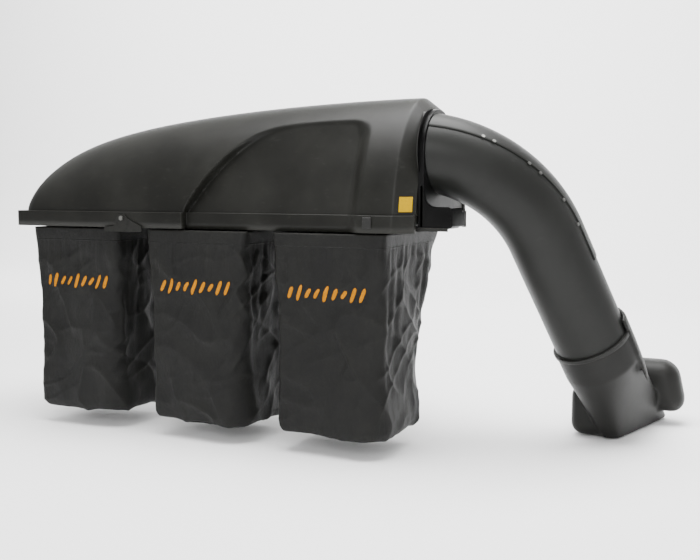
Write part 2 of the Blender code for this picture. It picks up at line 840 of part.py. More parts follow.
def build_hinges(carrier):
    steel = (BLACK_STEEL, 0.4, 0.3)
    for side, name in ((-1, "left"), (1, "right")):
        x = side * HINGE_X
        half, middle = HINGE_WIDTH / 2, HINGE_MIDDLE / 2
        face = HOOD_DEPTH + GAP
        leaf = new_object(
            f"hinge_leaf_{name}",
            local_box((x - half, face, LEAF_PLATE_FOOT), (x + half, face + LEAF, LEAF_HEIGHT)),
            steel,
            carrier,
        )
        axis_low = place(x - half, HINGE_Y, HINGE_Z)
        axis_high = place(x + half, HINGE_Y, HINGE_Z)
        join(leaf, local_box((x - half, face, LEAF_FOOT), (x + half, HINGE_Y, LEAF_SHELF)), carrier)
        join(leaf, rod_mesh(axis_low, axis_high, HINGE_KNUCKLE), carrier)
        slot = (x - middle - GAP, HINGE_Y - SLOT_REAR, HINGE_Z - THROUGH)
        slot_high = (x + middle + GAP, HINGE_Y + THROUGH, HINGE_Z + SLOT_TOP)
        cut(leaf, local_box(slot, slot_high), carrier)
        ends = Vector((THROUGH, 0, 0))
        cut(leaf, rod_mesh(axis_low - ends, axis_high + ends, HINGE_PIN + RUNNING_GAP), carrier)
        low = (x - middle, RAIL_FRONT + RAIL_EDGE, -LEAF_FOOT - LEAF)
        strip_box = local_box(low, (x + middle, HINGE_Y, -LEAF_FOOT))
        strip = new_object(f"hinge_strap_{name}", strip_box, steel)
        knuckle_low = place(x - middle, HINGE_Y, HINGE_Z)
        knuckle_high = place(x + middle, HINGE_Y, HINGE_Z)
        join(strip, rod_mesh(knuckle_low, knuckle_high, HINGE_KNUCKLE))
        cut(strip, rod_mesh(knuckle_low - ends, knuckle_high + ends, HINGE_PIN + RUNNING_GAP))
        new_object(f"hinge_pin_{name}", rod_mesh(axis_low, axis_high, HINGE_PIN), (ZINC, 0.3, 0.9))


def build_latch(hood_carrier, latch_carrier):
    front = -GAP
    lever = new_object(
        "latch_lever",
        plate_mesh(LATCH_OUTLINE, front - LATCH_PLATE, front),
        (GREY_STEEL, 0.4, 0.6),
        latch_carrier,
    )
    start, end = place(LATCH_X, -THROUGH, LATCH_Z), place(LATCH_X, THROUGH, LATCH_Z)
    cut(lever, rod_mesh(start, end, LATCH_BOLT + RUNNING_GAP, 16), latch_carrier)
    head = front - LATCH_PLATE - GAP
    bolt = new_object(
        "latch_bolt",
        rod_mesh(place(LATCH_X, head - LATCH_BOLT, LATCH_Z), place(LATCH_X, head, LATCH_Z), LATCH_HEAD, 6),
        (ZINC, 0.3, 0.9),
        hood_carrier,
    )
    shank = rod_mesh(place(LATCH_X, head - LAP, LATCH_Z), place(LATCH_X, front, LATCH_Z), LATCH_BOLT, 16)
    join(bolt, shank, hood_carrier)
    left, right = KEEPER_X - KEEPER_WIDTH / 2, KEEPER_X + KEEPER_WIDTH / 2
    face = RAIL_REAR - GAP
    plate = local_box((left, face - LEAF, KEEPER_FOOT), (right, face, KEEPER_TOP))
    keeper = new_object("latch_keeper", plate, (GREY_STEEL, 0.4, 0.6))
    join(keeper, local_box((left, KEEPER_REAR, KEEPER_FOOT), (right, face - LAP, -LEAF_FOOT)))


def build_inlet():
    gloss = (GLOSS_PLASTIC, 0.18)
    face = HOOD_END + INLET_FACE
    plate_x = face + INLET_PLATE
    rear = INLET_REAR
    centre, _ = bend_point(0.0)
    reach = (plate_x - CHUTE_START.x) / CHUTE_IN.x
    middle = centre + CHUTE_IN * reach
    middle_y = middle.y - HOOD_REAR_Y
    middle_z = middle.z - HOOD_RIM_Z
    radius = middle_y - rear
    outline = [(rear, INLET_FOOT)]
    for k in range(17):
        turn = math.pi * (1 - k / 16)
        outline.append((middle_y + radius * math.cos(turn), middle_z + radius * math.sin(turn)))
    outline.append((middle_y + radius, INLET_FOOT))
    count = len(outline)
    points = [place(face, y, z) for y, z in outline] + [place(plate_x, y, z) for y, z in outline]
    faces = [tuple(range(count)), tuple(range(2 * count - 1, count - 1, -1))]
    faces += [(i, i + count, (i + 1) % count + count, (i + 1) % count) for i in range(count)]
    housing = new_object("inlet_housing", mesh_from("housing", points, faces), gloss)
    shelf_low = (plate_x - COLLAR_TUCK, rear, INLET_FOOT)
    shelf_high = (plate_x + SHELF_LENGTH, rear + SHELF_DEPTH, SHELF_HEIGHT)
    join(housing, local_box(shelf_low, shelf_high, SHELF_ROUND, 2))
    turn = COLLAR_LENGTH / CHUTE_BEND
    collar_path = [(START - CHUTE_IN * CHUTE_BACK, CHUTE_IN)] + [bend_point(turn * k / 2) for k in range(3)]
    collar = core_mesh(collar_path, CHUTE_RADIUS + INLET_COLLAR)
    keep = slab_mesh(plate_x - COLLAR_TUCK, 2 * HOOD_END)
    ring = new_object("collar_helper", collar, None)
    ring.hide_render = True
    ring.display_type = "WIRE"
    within = new_object("collar_keep_helper", keep, None)
    within.hide_render = True
    within.display_type = "WIRE"
    trim = ring.modifiers.new("keep", "BOOLEAN")
    trim.operation = "INTERSECT"
    trim.object = within
    union = housing.modifiers.new("collar", "BOOLEAN")
    union.operation = "UNION"
    union.object = ring
    cut(housing, core_mesh(chute_path(CHUTE_BACK, 0.0), CHUTE_RADIUS + GAP))
    shelf_end = plate_x + SHELF_LENGTH - POCKET_WALL
    pocket_low = (plate_x + POCKET_WALL, rear + POCKET_WALL, SHELF_HEIGHT - POCKET_FOOT)
    pocket_high = (shelf_end, rear + SHELF_DEPTH - POCKET_WALL, SHELF_HEIGHT + POCKET_FOOT)
    cut(housing, local_box(pocket_low, pocket_high, POCKET_ROUND, 1))
    right = HOOD_END - RAIL_INSET + GAP
    top = INLET_FOOT - GAP
    end = plate_x + SHELF_LENGTH - BRACKET_SHORT
    back = rear - BRACKET_REAR
    low = (right, back, top - BRACKET_THICK)
    arm = local_box(low, (end, rear + SHELF_DEPTH - THROUGH, top))
    bracket = new_object("inlet_bracket", arm, (GREY_STEEL, 0.4, 0.5))
    join(bracket, local_box((right, back, top - BRACKET_LIP), (end, rear + LAP, top)))


def build_chute():
    look = (TUBE_PLASTIC, 0.4)
    bore = CHUTE_RADIUS - CHUTE_WALL
    bend = pipe_mesh(chute_path(CHUTE_BACK, 0.0)[:-1], CHUTE_RADIUS, bore)
    upper = new_object("chute_tube_upper", bend, look)
    housing_face = HOOD_END + INLET_FACE
    cut(upper, slab_mesh(HOOD_LEFT, housing_face))
    smooth(upper, 40)
    for name, start, end in (("middle", GAP, CHUTE_JOINT), ("lower", CHUTE_JOINT + GAP, CHUTE_RUN)):
        run = [(BEND_END + CHUTE_OUT * length, CHUTE_OUT) for length in (start, end)]
        smooth(new_object(f"chute_tube_{name}", pipe_mesh(run, CHUTE_RADIUS, bore), look), 40)
    half = COVER_FACETS * math.pi / CHUTE_SIDES
    under = CHUTE_RADIUS + GAP
    covered = chute_path(0.0, COVER_TAIL)[COVER_FIRST_STEP + 1 :]
    strip = strip_mesh(covered, under, under + COVER_THICK, -half, half, COVER_FACETS)
    cover = new_object("chute_cover", strip, (TUBE_PLASTIC, 0.35))
    housing_end = housing_face + INLET_PLATE + GAP
    cut(cover, slab_mesh(HOOD_LEFT, housing_end))
    smooth(cover, 40)
    edge = (COVER_FACETS - 1) * math.pi / CHUTE_SIDES
    flat = (CHUTE_RADIUS + GAP + COVER_THICK) * math.cos(math.pi / CHUTE_SIDES)
    for k, degrees in enumerate(COVER_SCREWS):
        centre, along = bend_point(math.radians(degrees))
        out, across = chute_frame(along)
        normal = out * math.cos(edge) - across * math.sin(edge)
        seat = centre + normal * (flat + GAP)
        head = rod_mesh(seat, seat + normal * SCREW_HIGH, SCREW_HEAD, 8)
        new_object(f"cover_screw_{k + 1}", head, (ZINC, 0.35, 0.9))


def ring_points(distance, radius, sides=CHUTE_SIDES):
    """A ring round the chute's lower run, at a distance below the bend."""
    out, side = chute_frame(CHUTE_OUT)
    centre = BEND_END + CHUTE_OUT * distance
    ring = []
    for k in range(sides):
        turn = 2 * math.pi * k / sides
        ring.append(centre + (out * math.cos(turn) + side * math.sin(turn)) * radius)
    return ring


def boot_floor_loop(inset, z):
    """The boot's footprint: each quarter of the chute's ring runs down to one of its sides."""
    corners = [Vector((x, y)) for x, y in BOOT_CORNERS]
    middle = sum(corners, Vector((0, 0))) / len(corners)
    quarter = CHUTE_SIDES // len(corners)
    sharp = []
    for a, b in zip(corners, corners[1:] + corners[:1]):
        sharp += [a.lerp(b, k / quarter) for k in range(quarter)]
    rounded = [(a + 2 * b + c) / 4 for a, b, c in zip(sharp[-1:] + sharp, sharp, sharp[1:] + sharp[:1])]
    inner = [spot + (middle - spot).normalized() * inset for spot in rounded]
    return [place(spot.x, spot.y, z) for spot in inner]


def boot_loops(inset, low_z, start, radius):
    """The boot's body: the chute's sleeve, carried on down to its footprint."""
    sleeve_end = CHUTE_RUN - BOOT_OVERLAP + BOOT_SLEEVE
    floor = boot_floor_loop(inset, low_z)
    ring = ring_points(sleeve_end, radius)
    loops = [ring_points(start, radius), ring]
    for share in BOOT_LEVELS:
        loop = []
        for a, b in zip(ring, floor):
            loop.append(a.lerp(b, share))
        loops.append(loop)
    return loops


def lobe_mesh(low, high, radius, lean):
    """A rounded box whose top leans to the left by lean."""
    mesh = local_box(low, high, radius, 4)
    floor = place(*low).z
    for vert in mesh.vertices:
        vert.co.x -= lean * (vert.co.z - floor) / (high.z - low.z)
    return mesh


def build_boot():
    sleeve_start = CHUTE_RUN - BOOT_OVERLAP
    inner = CHUTE_RADIUS + GAP
    outer = inner + BOOT_WALL
    body = loft_mesh(boot_loops(0.0, BOOT_FLOOR, sleeve_start, outer))
    boot = new_object("deck_boot", body, (TUBE_PLASTIC, 0.42))
    facet = 2 * math.pi / CHUTE_SIDES
    tongue = [(BEND_END + CHUTE_OUT * run, CHUTE_OUT) for run in (TONGUE_START, TONGUE_END)]
    first, last = TONGUE_FACETS
    high = outer + TONGUE_THICK - BOOT_WALL
    join(boot, strip_mesh(tongue, inner, high, first * facet, last * facet, last - first))
    lobes = (
        (LEFT_LOBE_LOW, LEFT_LOBE_HIGH, LEFT_LOBE_ROUND, 0.0),
        (RIGHT_LOBE_LOW, RIGHT_LOBE_HIGH, RIGHT_LOBE_ROUND, RIGHT_LOBE_LEAN),
    )
    for low, high, radius, lean in lobes:
        join(boot, lobe_mesh(low, high, radius, lean))
    lip = [(BEND_END + CHUTE_OUT * run, CHUTE_OUT) for run in (sleeve_start, sleeve_start + BOOT_LIP)]
    join(boot, pipe_mesh(lip, outer + BOOT_LIP_OUT, inner))
    floor = BOOT_FLOOR + BOOT_WALL
    cut(boot, loft_mesh(boot_loops(BOOT_WALL, floor, sleeve_start - BOOT_SLEEVE, inner)))
    wall = Vector((BOOT_WALL, BOOT_WALL, BOOT_WALL))
    for low, high, radius, lean in lobes:
        cut(boot, lobe_mesh(low + wall, high - wall, radius - BOOT_WALL, lean))
    cut(boot, local_box(MOUTH_LOW, MOUTH_HIGH))
    smooth(boot, 40)


def build_trim(carrier):
    """The small fittings on the hood's rim."""
    steel = (BLACK_STEEL, 0.35, 0.4)
    low = (HOOK_X - HOOK_HALF, -GAP - HOOK_THICK, HOOK_LOW)
    hook = local_box(low, (HOOK_X + HOOK_HALF, -GAP, HOOK_HIGH), LAP, 1)
    new_object("rim_hook", hook, steel, carrier)


HOOD_PIVOT = pivot("hood_pivot", place(0, HINGE_Y, HINGE_Z))
LATCH_PIVOT = pivot("latch_pivot", place(LATCH_X, 0, LATCH_Z))
build_hood(HOOD_PIVOT)
build_patch(HOOD_PIVOT)
build_trim(HOOD_PIVOT)
build_rack()
build_bags()
build_hinges(HOOD_PIVOT)
build_latch(HOOD_PIVOT, LATCH_PIVOT)
build_inlet()
build_chute()
build_boot()
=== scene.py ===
import json
import math

import bmesh
import bpy
import numpy as np
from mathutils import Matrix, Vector, noise
from mathutils.bvhtree import BVHTree


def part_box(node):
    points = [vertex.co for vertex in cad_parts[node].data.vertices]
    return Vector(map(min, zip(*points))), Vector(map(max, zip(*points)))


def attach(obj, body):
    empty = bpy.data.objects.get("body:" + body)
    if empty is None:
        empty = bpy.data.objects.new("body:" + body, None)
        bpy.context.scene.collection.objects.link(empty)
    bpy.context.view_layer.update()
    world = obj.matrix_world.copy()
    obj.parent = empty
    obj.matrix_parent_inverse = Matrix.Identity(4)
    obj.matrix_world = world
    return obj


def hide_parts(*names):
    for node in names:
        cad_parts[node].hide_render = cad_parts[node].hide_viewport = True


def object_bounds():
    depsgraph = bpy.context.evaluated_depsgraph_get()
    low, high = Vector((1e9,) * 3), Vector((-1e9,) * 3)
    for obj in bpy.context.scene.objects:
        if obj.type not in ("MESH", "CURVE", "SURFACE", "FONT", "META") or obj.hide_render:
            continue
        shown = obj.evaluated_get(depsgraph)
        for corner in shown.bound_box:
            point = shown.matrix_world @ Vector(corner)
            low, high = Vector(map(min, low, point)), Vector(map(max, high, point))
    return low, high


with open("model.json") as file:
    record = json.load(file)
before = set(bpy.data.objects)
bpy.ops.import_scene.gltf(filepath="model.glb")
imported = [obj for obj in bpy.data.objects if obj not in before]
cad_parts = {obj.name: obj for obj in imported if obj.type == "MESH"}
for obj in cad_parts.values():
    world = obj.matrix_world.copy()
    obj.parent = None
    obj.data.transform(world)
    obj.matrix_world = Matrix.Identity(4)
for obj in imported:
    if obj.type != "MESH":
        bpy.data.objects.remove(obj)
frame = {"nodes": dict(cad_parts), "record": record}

CAD_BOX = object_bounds()
HOOD_LOW, HOOD_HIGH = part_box("hood_shell")


def spot(x, y, z):
    """A point measured from the hood's rear lower edge, in the part's frame."""
    return Vector((x, y + HOOD_LOW.y, z + HOOD_LOW.z))


# Camera, lights and floor
PHOTO_AZIMUTH = math.radians(25.0)
PHOTO_PITCH = math.radians(5.7)
LENS = 50.0
EYE = Vector((1.522, -2.81, 0.547))
FLOOR_Z = CAD_BOX[0][2] - 0.004


def build_camera():
    lens = bpy.data.cameras.new("photo_camera")
    lens.lens = LENS
    lens.sensor_width = 36.0
    camera = bpy.data.objects.new("photo_camera", lens)
    camera.location = EYE
    camera.rotation_euler = (math.pi / 2 - PHOTO_PITCH, 0.0, PHOTO_AZIMUTH)
    bpy.context.scene.collection.objects.link(camera)
    bpy.context.scene.camera = camera


def softbox(name, place, target, size, watts):
    light = bpy.data.lights.new(name, "AREA")
    light.shape = "RECTANGLE"
    light.size, light.size_y = size
    light.energy = watts
    lamp = bpy.data.objects.new(name, light)
    lamp.location = place
    lamp.rotation_euler = (Vector(target) - Vector(place)).to_track_quat("-Z", "Y").to_euler()
    bpy.context.scene.collection.objects.link(lamp)


def build_lights():
    world = bpy.data.worlds.new("studio")
    world.use_nodes = True
    backdrop = world.node_tree.nodes["Background"]
    backdrop.inputs["Color"].default_value = (1.0, 1.0, 1.0, 1.0)
    backdrop.inputs["Strength"].default_value = 1.0
    bpy.context.scene.world = world
    softbox("overhead", (0.5, -0.4, 3.0), (0.4, -0.3, 0.0), (3.0, 2.2), 330)
    softbox("right_key", (1.7, -4.4, 1.9), (0.6, -0.3, 0.2), (1.4, 1.4), 90)
    softbox("wall_wash", (-2.0, 2.0, 3.2), (-2.0, 5.0, 0.6), (8.0, 1.2), 500)


def build_floor():
    """A pale floor that sweeps up into a wall behind."""
    profile = [(-9.0, 0.0), (3.4, 0.0)]
    for k in range(1, 13):
        turn = math.pi / 2 * k / 12
        profile.append((3.4 + 1.6 * math.sin(turn), 1.6 * (1 - math.cos(turn))))
    profile.append((5.0, 6.0))
    points = [(x, y, z + FLOOR_Z) for y, z in profile for x in (-14.0, 14.0)]
    faces = [(2 * k, 2 * k + 1, 2 * k + 3, 2 * k + 2) for k in range(len(profile) - 1)]
    mesh = bpy.data.meshes.new("floor")
    mesh.from_pydata(points, [], faces)
    mesh.shade_smooth()
    floor = bpy.data.objects.new("floor", mesh)
    bpy.context.scene.collection.objects.link(floor)
    pale = bpy.data.materials.new("floor_pale")
    pale.use_nodes = True
    shader = pale.node_tree.nodes["Principled BSDF"]
    shader.inputs["Base Color"].default_value = (0.93, 0.93, 0.93, 1.0)
    shader.inputs["Roughness"].default_value = 0.9
    mesh.materials.append(pale)


# Finishes
class Value:
    """A number or colour that varies over a surface. Arithmetic on it adds Math nodes."""

    def __init__(self, paint, socket):
        self.paint = paint
        self.socket = socket

    def math(self, operation, other=None, swap=False):
        values = [self, other]
        if swap:
            values.reverse()
        given = {k: v for k, v in enumerate(values) if v is not None}
        return self.paint.node("ShaderNodeMath", {"operation": operation}, given)

    def __add__(self, other):
        return self.math("ADD", other)

    def __sub__(self, other):
        return self.math("SUBTRACT", other)

    def __mul__(self, other):
        return self.math("MULTIPLY", other)

    def __truediv__(self, other):
        return self.math("DIVIDE", other)

    def __pow__(self, other):
        return self.math("POWER", other)

    def __rsub__(self, other):
        return self.math("SUBTRACT", other, swap=True)

    def __rtruediv__(self, other):
        return self.math("DIVIDE", other, swap=True)

    __radd__ = __add__
    __rmul__ = __mul__

    def abs(self):
        return self.math("ABSOLUTE")

    def sin(self):
        return self.math("SINE")

    def wrapped(self):
        return self.math("FRACT")

    def at_least(self, other):
        return self.math("MAXIMUM", other)

    def at_most(self, other):
        return self.math("MINIMUM", other)

    def step(self, start, end):
        """0 before start, 1 after end and a soft rise between; start may be the larger one."""
        settings = {"interpolation_type": "SMOOTHSTEP"}
        return self.paint.node("ShaderNodeMapRange", settings, {0: self, 1: start, 2: end})


SHEEN = 0.16


class Paint:
    """One finish: a Principled shader whose constants are set on it and whose patterns feed it."""

    def __init__(self, name, colour, roughness, sheen=SHEEN, **constants):
        self.material = bpy.data.materials.new(name)
        self.material.use_nodes = True
        self.tree = self.material.node_tree
        self.shader = self.tree.nodes["Principled BSDF"]
        self.shader.inputs["Base Color"].default_value = (*colour, 1.0)
        self.shader.inputs["Roughness"].default_value = roughness
        for socket, value in constants.items():
            self.shader.inputs[socket.replace("_", " ").title()].default_value = value
        self.shader.inputs["Specular IOR Level"].default_value = sheen
        self.normal = None

    def node(self, kind, settings=None, values=None, out=0):
        """Any node: its settings first, then the values or links of its sockets."""
        made = self.tree.nodes.new(kind)
        for key, value in (settings or {}).items():
            setattr(made, key, value)
        for key, value in (values or {}).items():
            if isinstance(value, Value):
                self.tree.links.new(value.socket, made.inputs[key])
            else:
                made.inputs[key].default_value = value
        return Value(self, made.outputs[out])

    def place(self):
        return self.node("ShaderNodeTexCoord", out="Object")

    def axes(self):
        """The X, Y and Z of the surface in the part's frame, in metres."""
        split = self.node("ShaderNodeSeparateXYZ", values={0: self.place()})
        node = split.socket.node
        return [Value(self, node.outputs[k]) for k in range(3)]

    def stretched(self, x, y, z):
        return self.node("ShaderNodeMapping", values={"Vector": self.place(), "Scale": (x, y, z)})

    def speckle(self, scale, detail=3.0, rough=0.55, at=None):
        values = {"Scale": scale, "Detail": detail, "Roughness": rough}
        values["Vector"] = at or self.place()
        return self.node("ShaderNodeTexNoise", values=values)

    def cells(self, scale, at=None):
        values = {"Scale": scale, "Vector": at or self.place()}
        return self.node("ShaderNodeTexVoronoi", values=values)

    def upward(self):
        """How far the surface faces up, where dust settles and painted top light falls."""
        split = self.node("ShaderNodeSeparateXYZ", values={0: self.node("ShaderNodeNewGeometry", out="Normal")})
        return Value(self, split.socket.node.outputs[2])

    def edges(self, low, high):
        """1 on outward edges, which wear first."""
        pointed = self.node("ShaderNodeNewGeometry", out="Pointiness")
        return pointed.step(low, high)

    def mix(self, share, first, second):
        """A colour between two, each a colour or a Value."""
        values = {0: share}
        for key, colour in ((6, first), (7, second)):
            values[key] = colour if isinstance(colour, Value) else (*colour, 1.0)
        return self.node("ShaderNodeMix", {"data_type": "RGBA"}, values, out=2)

    def feed(self, socket, value):
        self.tree.links.new(value.socket, self.shader.inputs[socket])

    def bump(self, height, distance, strength=1.0):
        """Adds relief of about that distance, in metres, over the relief before it."""
        values = {"Height": height, "Distance": distance, "Strength": strength}
        if self.normal is not None:
            values["Normal"] = self.normal
        self.normal = self.node("ShaderNodeBump", values=values)
        self.feed("Normal", self.normal)


def moulded(name, colour, pale_wear_and_top_light, roughness, grain, dust_and_top_light, sheen=SHEEN):
    """Moulded plastic: fine grain, cloudy gloss, pale scuffs, rubbed edges, and dust with painted top light paling the
    upward faces.
    """
    paint = Paint(name, colour, roughness, sheen)
    clouds = paint.speckle(5.0, 4.0)
    specks = paint.speckle(180.0, 2.0)
    rub = paint.edges(0.52, 0.60) * 0.35
    scuffs = paint.speckle(38.0, 5.0, at=paint.stretched(1.0, 1.0, 2.6)).step(0.60, 0.74) * 0.16
    # upward faces painted paler: partly dust, partly painted light from above
    dust_and_top_light_share = paint.upward().step(0.55, 1.0) * (clouds * 0.5 + 0.55) * dust_and_top_light
    paler_share = rub + scuffs + clouds.step(0.35, 0.75) * 0.20 + specks.step(0.62, 0.8) * 0.08
    paler_share = (paler_share + dust_and_top_light_share).at_most(1.0)
    paint.feed("Base Color", paint.mix(paler_share, colour, pale_wear_and_top_light))
    paint.feed("Roughness", clouds * 0.14 + scuffs * 0.6 + (roughness - 0.07))
    paint.bump(paint.cells(650.0), grain)
    paint.bump(paint.speckle(14.0, 2.0), 0.0006)
    return paint


def woven(name):
    """Coarse black bag cloth: crossed threads, creases rubbed pale and a little dust."""
    dark, pale = (0.0010, 0.0010, 0.0008), (0.0080, 0.0080, 0.0062)
    paint = Paint(name, dark, 0.62, 0.19)
    x, y, z = paint.axes()
    across = ((x + y) * THREADS).sin()
    down = (z * THREADS).sin()
    threads = (across * down + 1) * 0.5
    streaks = paint.speckle(60.0, 4.0, 0.7, paint.stretched(1.0, 1.0, 0.35))
    mottle = paint.speckle(170.0, 3.0, 0.7)
    clouds = paint.speckle(9.0, 4.0, 0.6)
    crease = paint.edges(0.505, 0.56)
    pale_share = clouds.step(0.35, 0.8) * 0.40 + streaks.step(0.45, 0.8) * 0.35 + crease * 0.40
    pale_share = (pale_share + mottle.step(0.45, 0.75) * 0.25).at_most(1.0)
    paint.feed("Base Color", paint.mix(pale_share, dark, pale))
    paint.feed("Roughness", threads * 0.08 + streaks * 0.20 + 0.34)
    hem = (z - HEM_LINE).abs().step(0.0022, 0.0006)
    paint.bump(threads, 0.0004)
    paint.bump(hem, 0.0012)
    paint.bump(mottle, 0.0010)
    paint.bump(paint.speckle(12.0, 5.0, 0.6, paint.stretched(1.0, 1.0, 0.7)), 0.0050, 0.8)
    paint.bump(paint.speckle(26.0, 5.0, 0.65), 0.0022, 0.7)
    return paint


def coated_steel(name, colour, roughness, metallic=0.0):
    """Powder coat with a light orange peel, rubbed at its edges."""
    paint = Paint(name, colour, roughness, metallic=metallic)
    rub = paint.edges(0.53, 0.62)
    spots = paint.speckle(90.0, 4.0).step(0.60, 0.72)
    bare = (0.10, 0.10, 0.095)
    paint.feed("Base Color", paint.mix((rub * 0.12 + spots * 0.12).at_most(1.0), colour, bare))
    paint.feed("Roughness", paint.speckle(30.0, 3.0) * 0.2 + (roughness - 0.1))
    paint.bump(paint.speckle(420.0, 2.0), 0.0002)
    return paint


def plated(name, colour, roughness):
    """Zinc plate or bare steel, brushed and slightly stained."""
    paint = Paint(name, colour, roughness, metallic=0.9)
    brushed = paint.speckle(220.0, 3.0, at=paint.stretched(0.08, 1.0, 1.0))
    stain = paint.speckle(55.0, 4.0).step(0.45, 0.75)
    dull = tuple(0.45 * c for c in colour)
    paint.feed("Base Color", paint.mix(stain * 0.6, colour, dull))
    paint.feed("Roughness", stain * 0.2 + brushed * 0.15 + (roughness - 0.1))
    paint.bump(brushed, 0.0001)
    return paint


def cell_film():
    """Plain yellow reflective film: fine cells and a little dirt."""
    yellow, deep = (0.42, 0.26, 0.0), (0.28, 0.16, 0.0)
    paint = Paint("patch_film", yellow, 0.40, 0.05)
    cells = paint.cells(900.0)
    dirt = paint.speckle(160.0, 4.0).step(0.45, 0.75)
    paint.feed("Base Color", paint.mix((cells * 0.35 + dirt * 0.4).at_most(1.0), yellow, deep))
    paint.feed("Roughness", dirt * 0.25 + 0.25)
    paint.bump(cells, 0.00008)
    return paint


def embroidery(name):
    """Amber satin stitch: close parallel threads."""
    bright, deep = (0.52, 0.20, 0.0), (0.28, 0.085, 0.0)
    paint = Paint(name, bright, 0.6, 0.05)
    x, y, z = paint.axes()
    threads = ((x * 0.55 + z) * 5200.0).sin() * 0.5 + 0.5
    shade = paint.speckle(300.0, 2.0)
    paint.feed("Base Color", paint.mix(threads * 0.35 + shade * 0.3, bright, deep))
    paint.bump(threads, 0.0003)
    return paint


THREADS = 2 * math.pi / 0.0024
HEM_LINE = HOOD_LOW.z - 0.040

# The sixth argument of each is how much dust and painted top light pales its upward faces.
HOOD = moulded("hood_moulding", (0.0045, 0.0045, 0.0036), (0.030, 0.030, 0.026), 0.42, 0.00012, 0.30)
TUBE = moulded("chute_moulding", (0.0108, 0.0111, 0.0102), (0.026, 0.027, 0.025), 0.40, 0.00005, 0.5)
BOOT = moulded("boot_moulding", (0.0085, 0.0085, 0.0078), (0.026, 0.026, 0.024), 0.46, 0.00008, 0.2)
GLOSS = moulded("inlet_moulding", (0.002, 0.002, 0.002), (0.008, 0.008, 0.008), 0.28, 0.00002, 0.0, 0.07)
CLOTH = woven("bag_weave")
STEEL = coated_steel("frame_coat", (0.005, 0.005, 0.005), 0.40)
BARE = plated("latch_steel", (0.030, 0.030, 0.028), 0.42)
ZINC = plated("zinc_plate", (0.16, 0.16, 0.15), 0.38)
AMBER = embroidery("amber_thread")
PATCH = cell_film()


# Making pieces
def net(rows, closed=False, looped=False):
    """A mesh through rows of points: closed joins each row's ends, looped the last row to the first."""
    count = len(rows[0])
    points = [tuple(p) for row in rows for p in row]
    faces = []
    for i in range(len(rows) - (0 if looped else 1)):
        a, b = i * count, (i + 1) % len(rows) * count
        for k in range(count if closed else count - 1):
            n = (k + 1) % count
            faces.append((a + k, b + k, b + n, a + n))
    return points, faces


def mesh_of(name, points, faces, merge=1e-6):
    mesh = bpy.data.meshes.new(name)
    mesh.from_pydata(points, [], faces)
    made = bmesh.new()
    made.from_mesh(mesh)
    bmesh.ops.remove_doubles(made, verts=made.verts, dist=merge)
    bmesh.ops.recalc_face_normals(made, faces=made.faces)
    made.to_mesh(mesh)
    made.free()
    return mesh


def capped(rows):
    """Rows of closed loops with a flat face on both ends."""
    points, faces = net(rows, closed=True)
    count = len(rows[0])
    last = (len(rows) - 1) * count
    faces.append(tuple(range(count)))
    faces.append(tuple(range(last + count - 1, last - 1, -1)))
    return points, faces


def piece(name, mesh, body, paint, replaces=(), sharp=35):
    """One visible piece that rides on a body and stands for the CAD nodes that it replaces."""
    mesh.shade_smooth()
    mesh.set_sharp_from_angle(angle=math.radians(sharp))
    obj = bpy.data.objects.new(name, mesh)
    bpy.context.scene.collection.objects.link(obj)
    mesh.materials.append(paint.material)
    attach(obj, body)
    if replaces:
        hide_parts(*replaces)
    return obj


def add_modifier(obj, kind, **settings):
    made = obj.modifiers.new(kind.lower(), kind)
    for key, value in settings.items():
        setattr(made, key, value)
    return made


def applied(obj):
    """Bakes an object's modifiers into its mesh."""
    graph = bpy.context.evaluated_depsgraph_get()
    mesh = bpy.data.meshes.new_from_object(obj.evaluated_get(graph))
    obj.modifiers.clear()
    obj.data = mesh
    return obj


def rounded_box(low, high, radius, segments=3):
    made = bmesh.new()
    bmesh.ops.create_cube(made, size=1.0)
    low, high = Vector(low), Vector(high)
    for vert in made.verts:
        vert.co = Vector([low[k] + (high[k] - low[k]) * (vert.co[k] + 0.5) for k in range(3)])
    bmesh.ops.bevel(
        made, geom=made.edges[:], offset=radius, segments=segments, affect="EDGES", profile=0.5
    )
    mesh = bpy.data.meshes.new("box")
    made.to_mesh(mesh)
    made.free()
    return mesh


def turned(start, axis, profile, sides=32):
    """A piece turned on a lathe: profile is (distance along the axis, radius) pairs."""
    axis = Vector(axis).normalized()
    side = axis.orthogonal().normalized()
    up = axis.cross(side)
    rows = []
    for along, radius in profile:
        centre = Vector(start) + axis * along
        turns = [2 * math.pi * k / sides for k in range(sides)]
        rows.append([centre + (side * math.cos(t) + up * math.sin(t)) * radius for t in turns])
    return mesh_of("turned", *capped(rows))


def joined(meshes):
    """Several closed meshes as one."""
    made = bmesh.new()
    for mesh in meshes:
        made.from_mesh(mesh)
    whole = bpy.data.meshes.new("joined")
    made.to_mesh(whole)
    made.free()
    return whole


def ease(value):
    value = min(max(value, 0.0), 1.0)
    return value * value * (3 - 2 * value)


def corner_arc(centre, first, last, radius, steps):
    """Points of an arc in a plane, as pairs, from one angle to another in degrees."""
    arc = []
    for k in range(steps + 1):
        turn = math.radians(first + (last - first) * k / steps)
        arc.append((centre[0] + radius * math.cos(turn), centre[1] + radius * math.sin(turn)))
    return arc


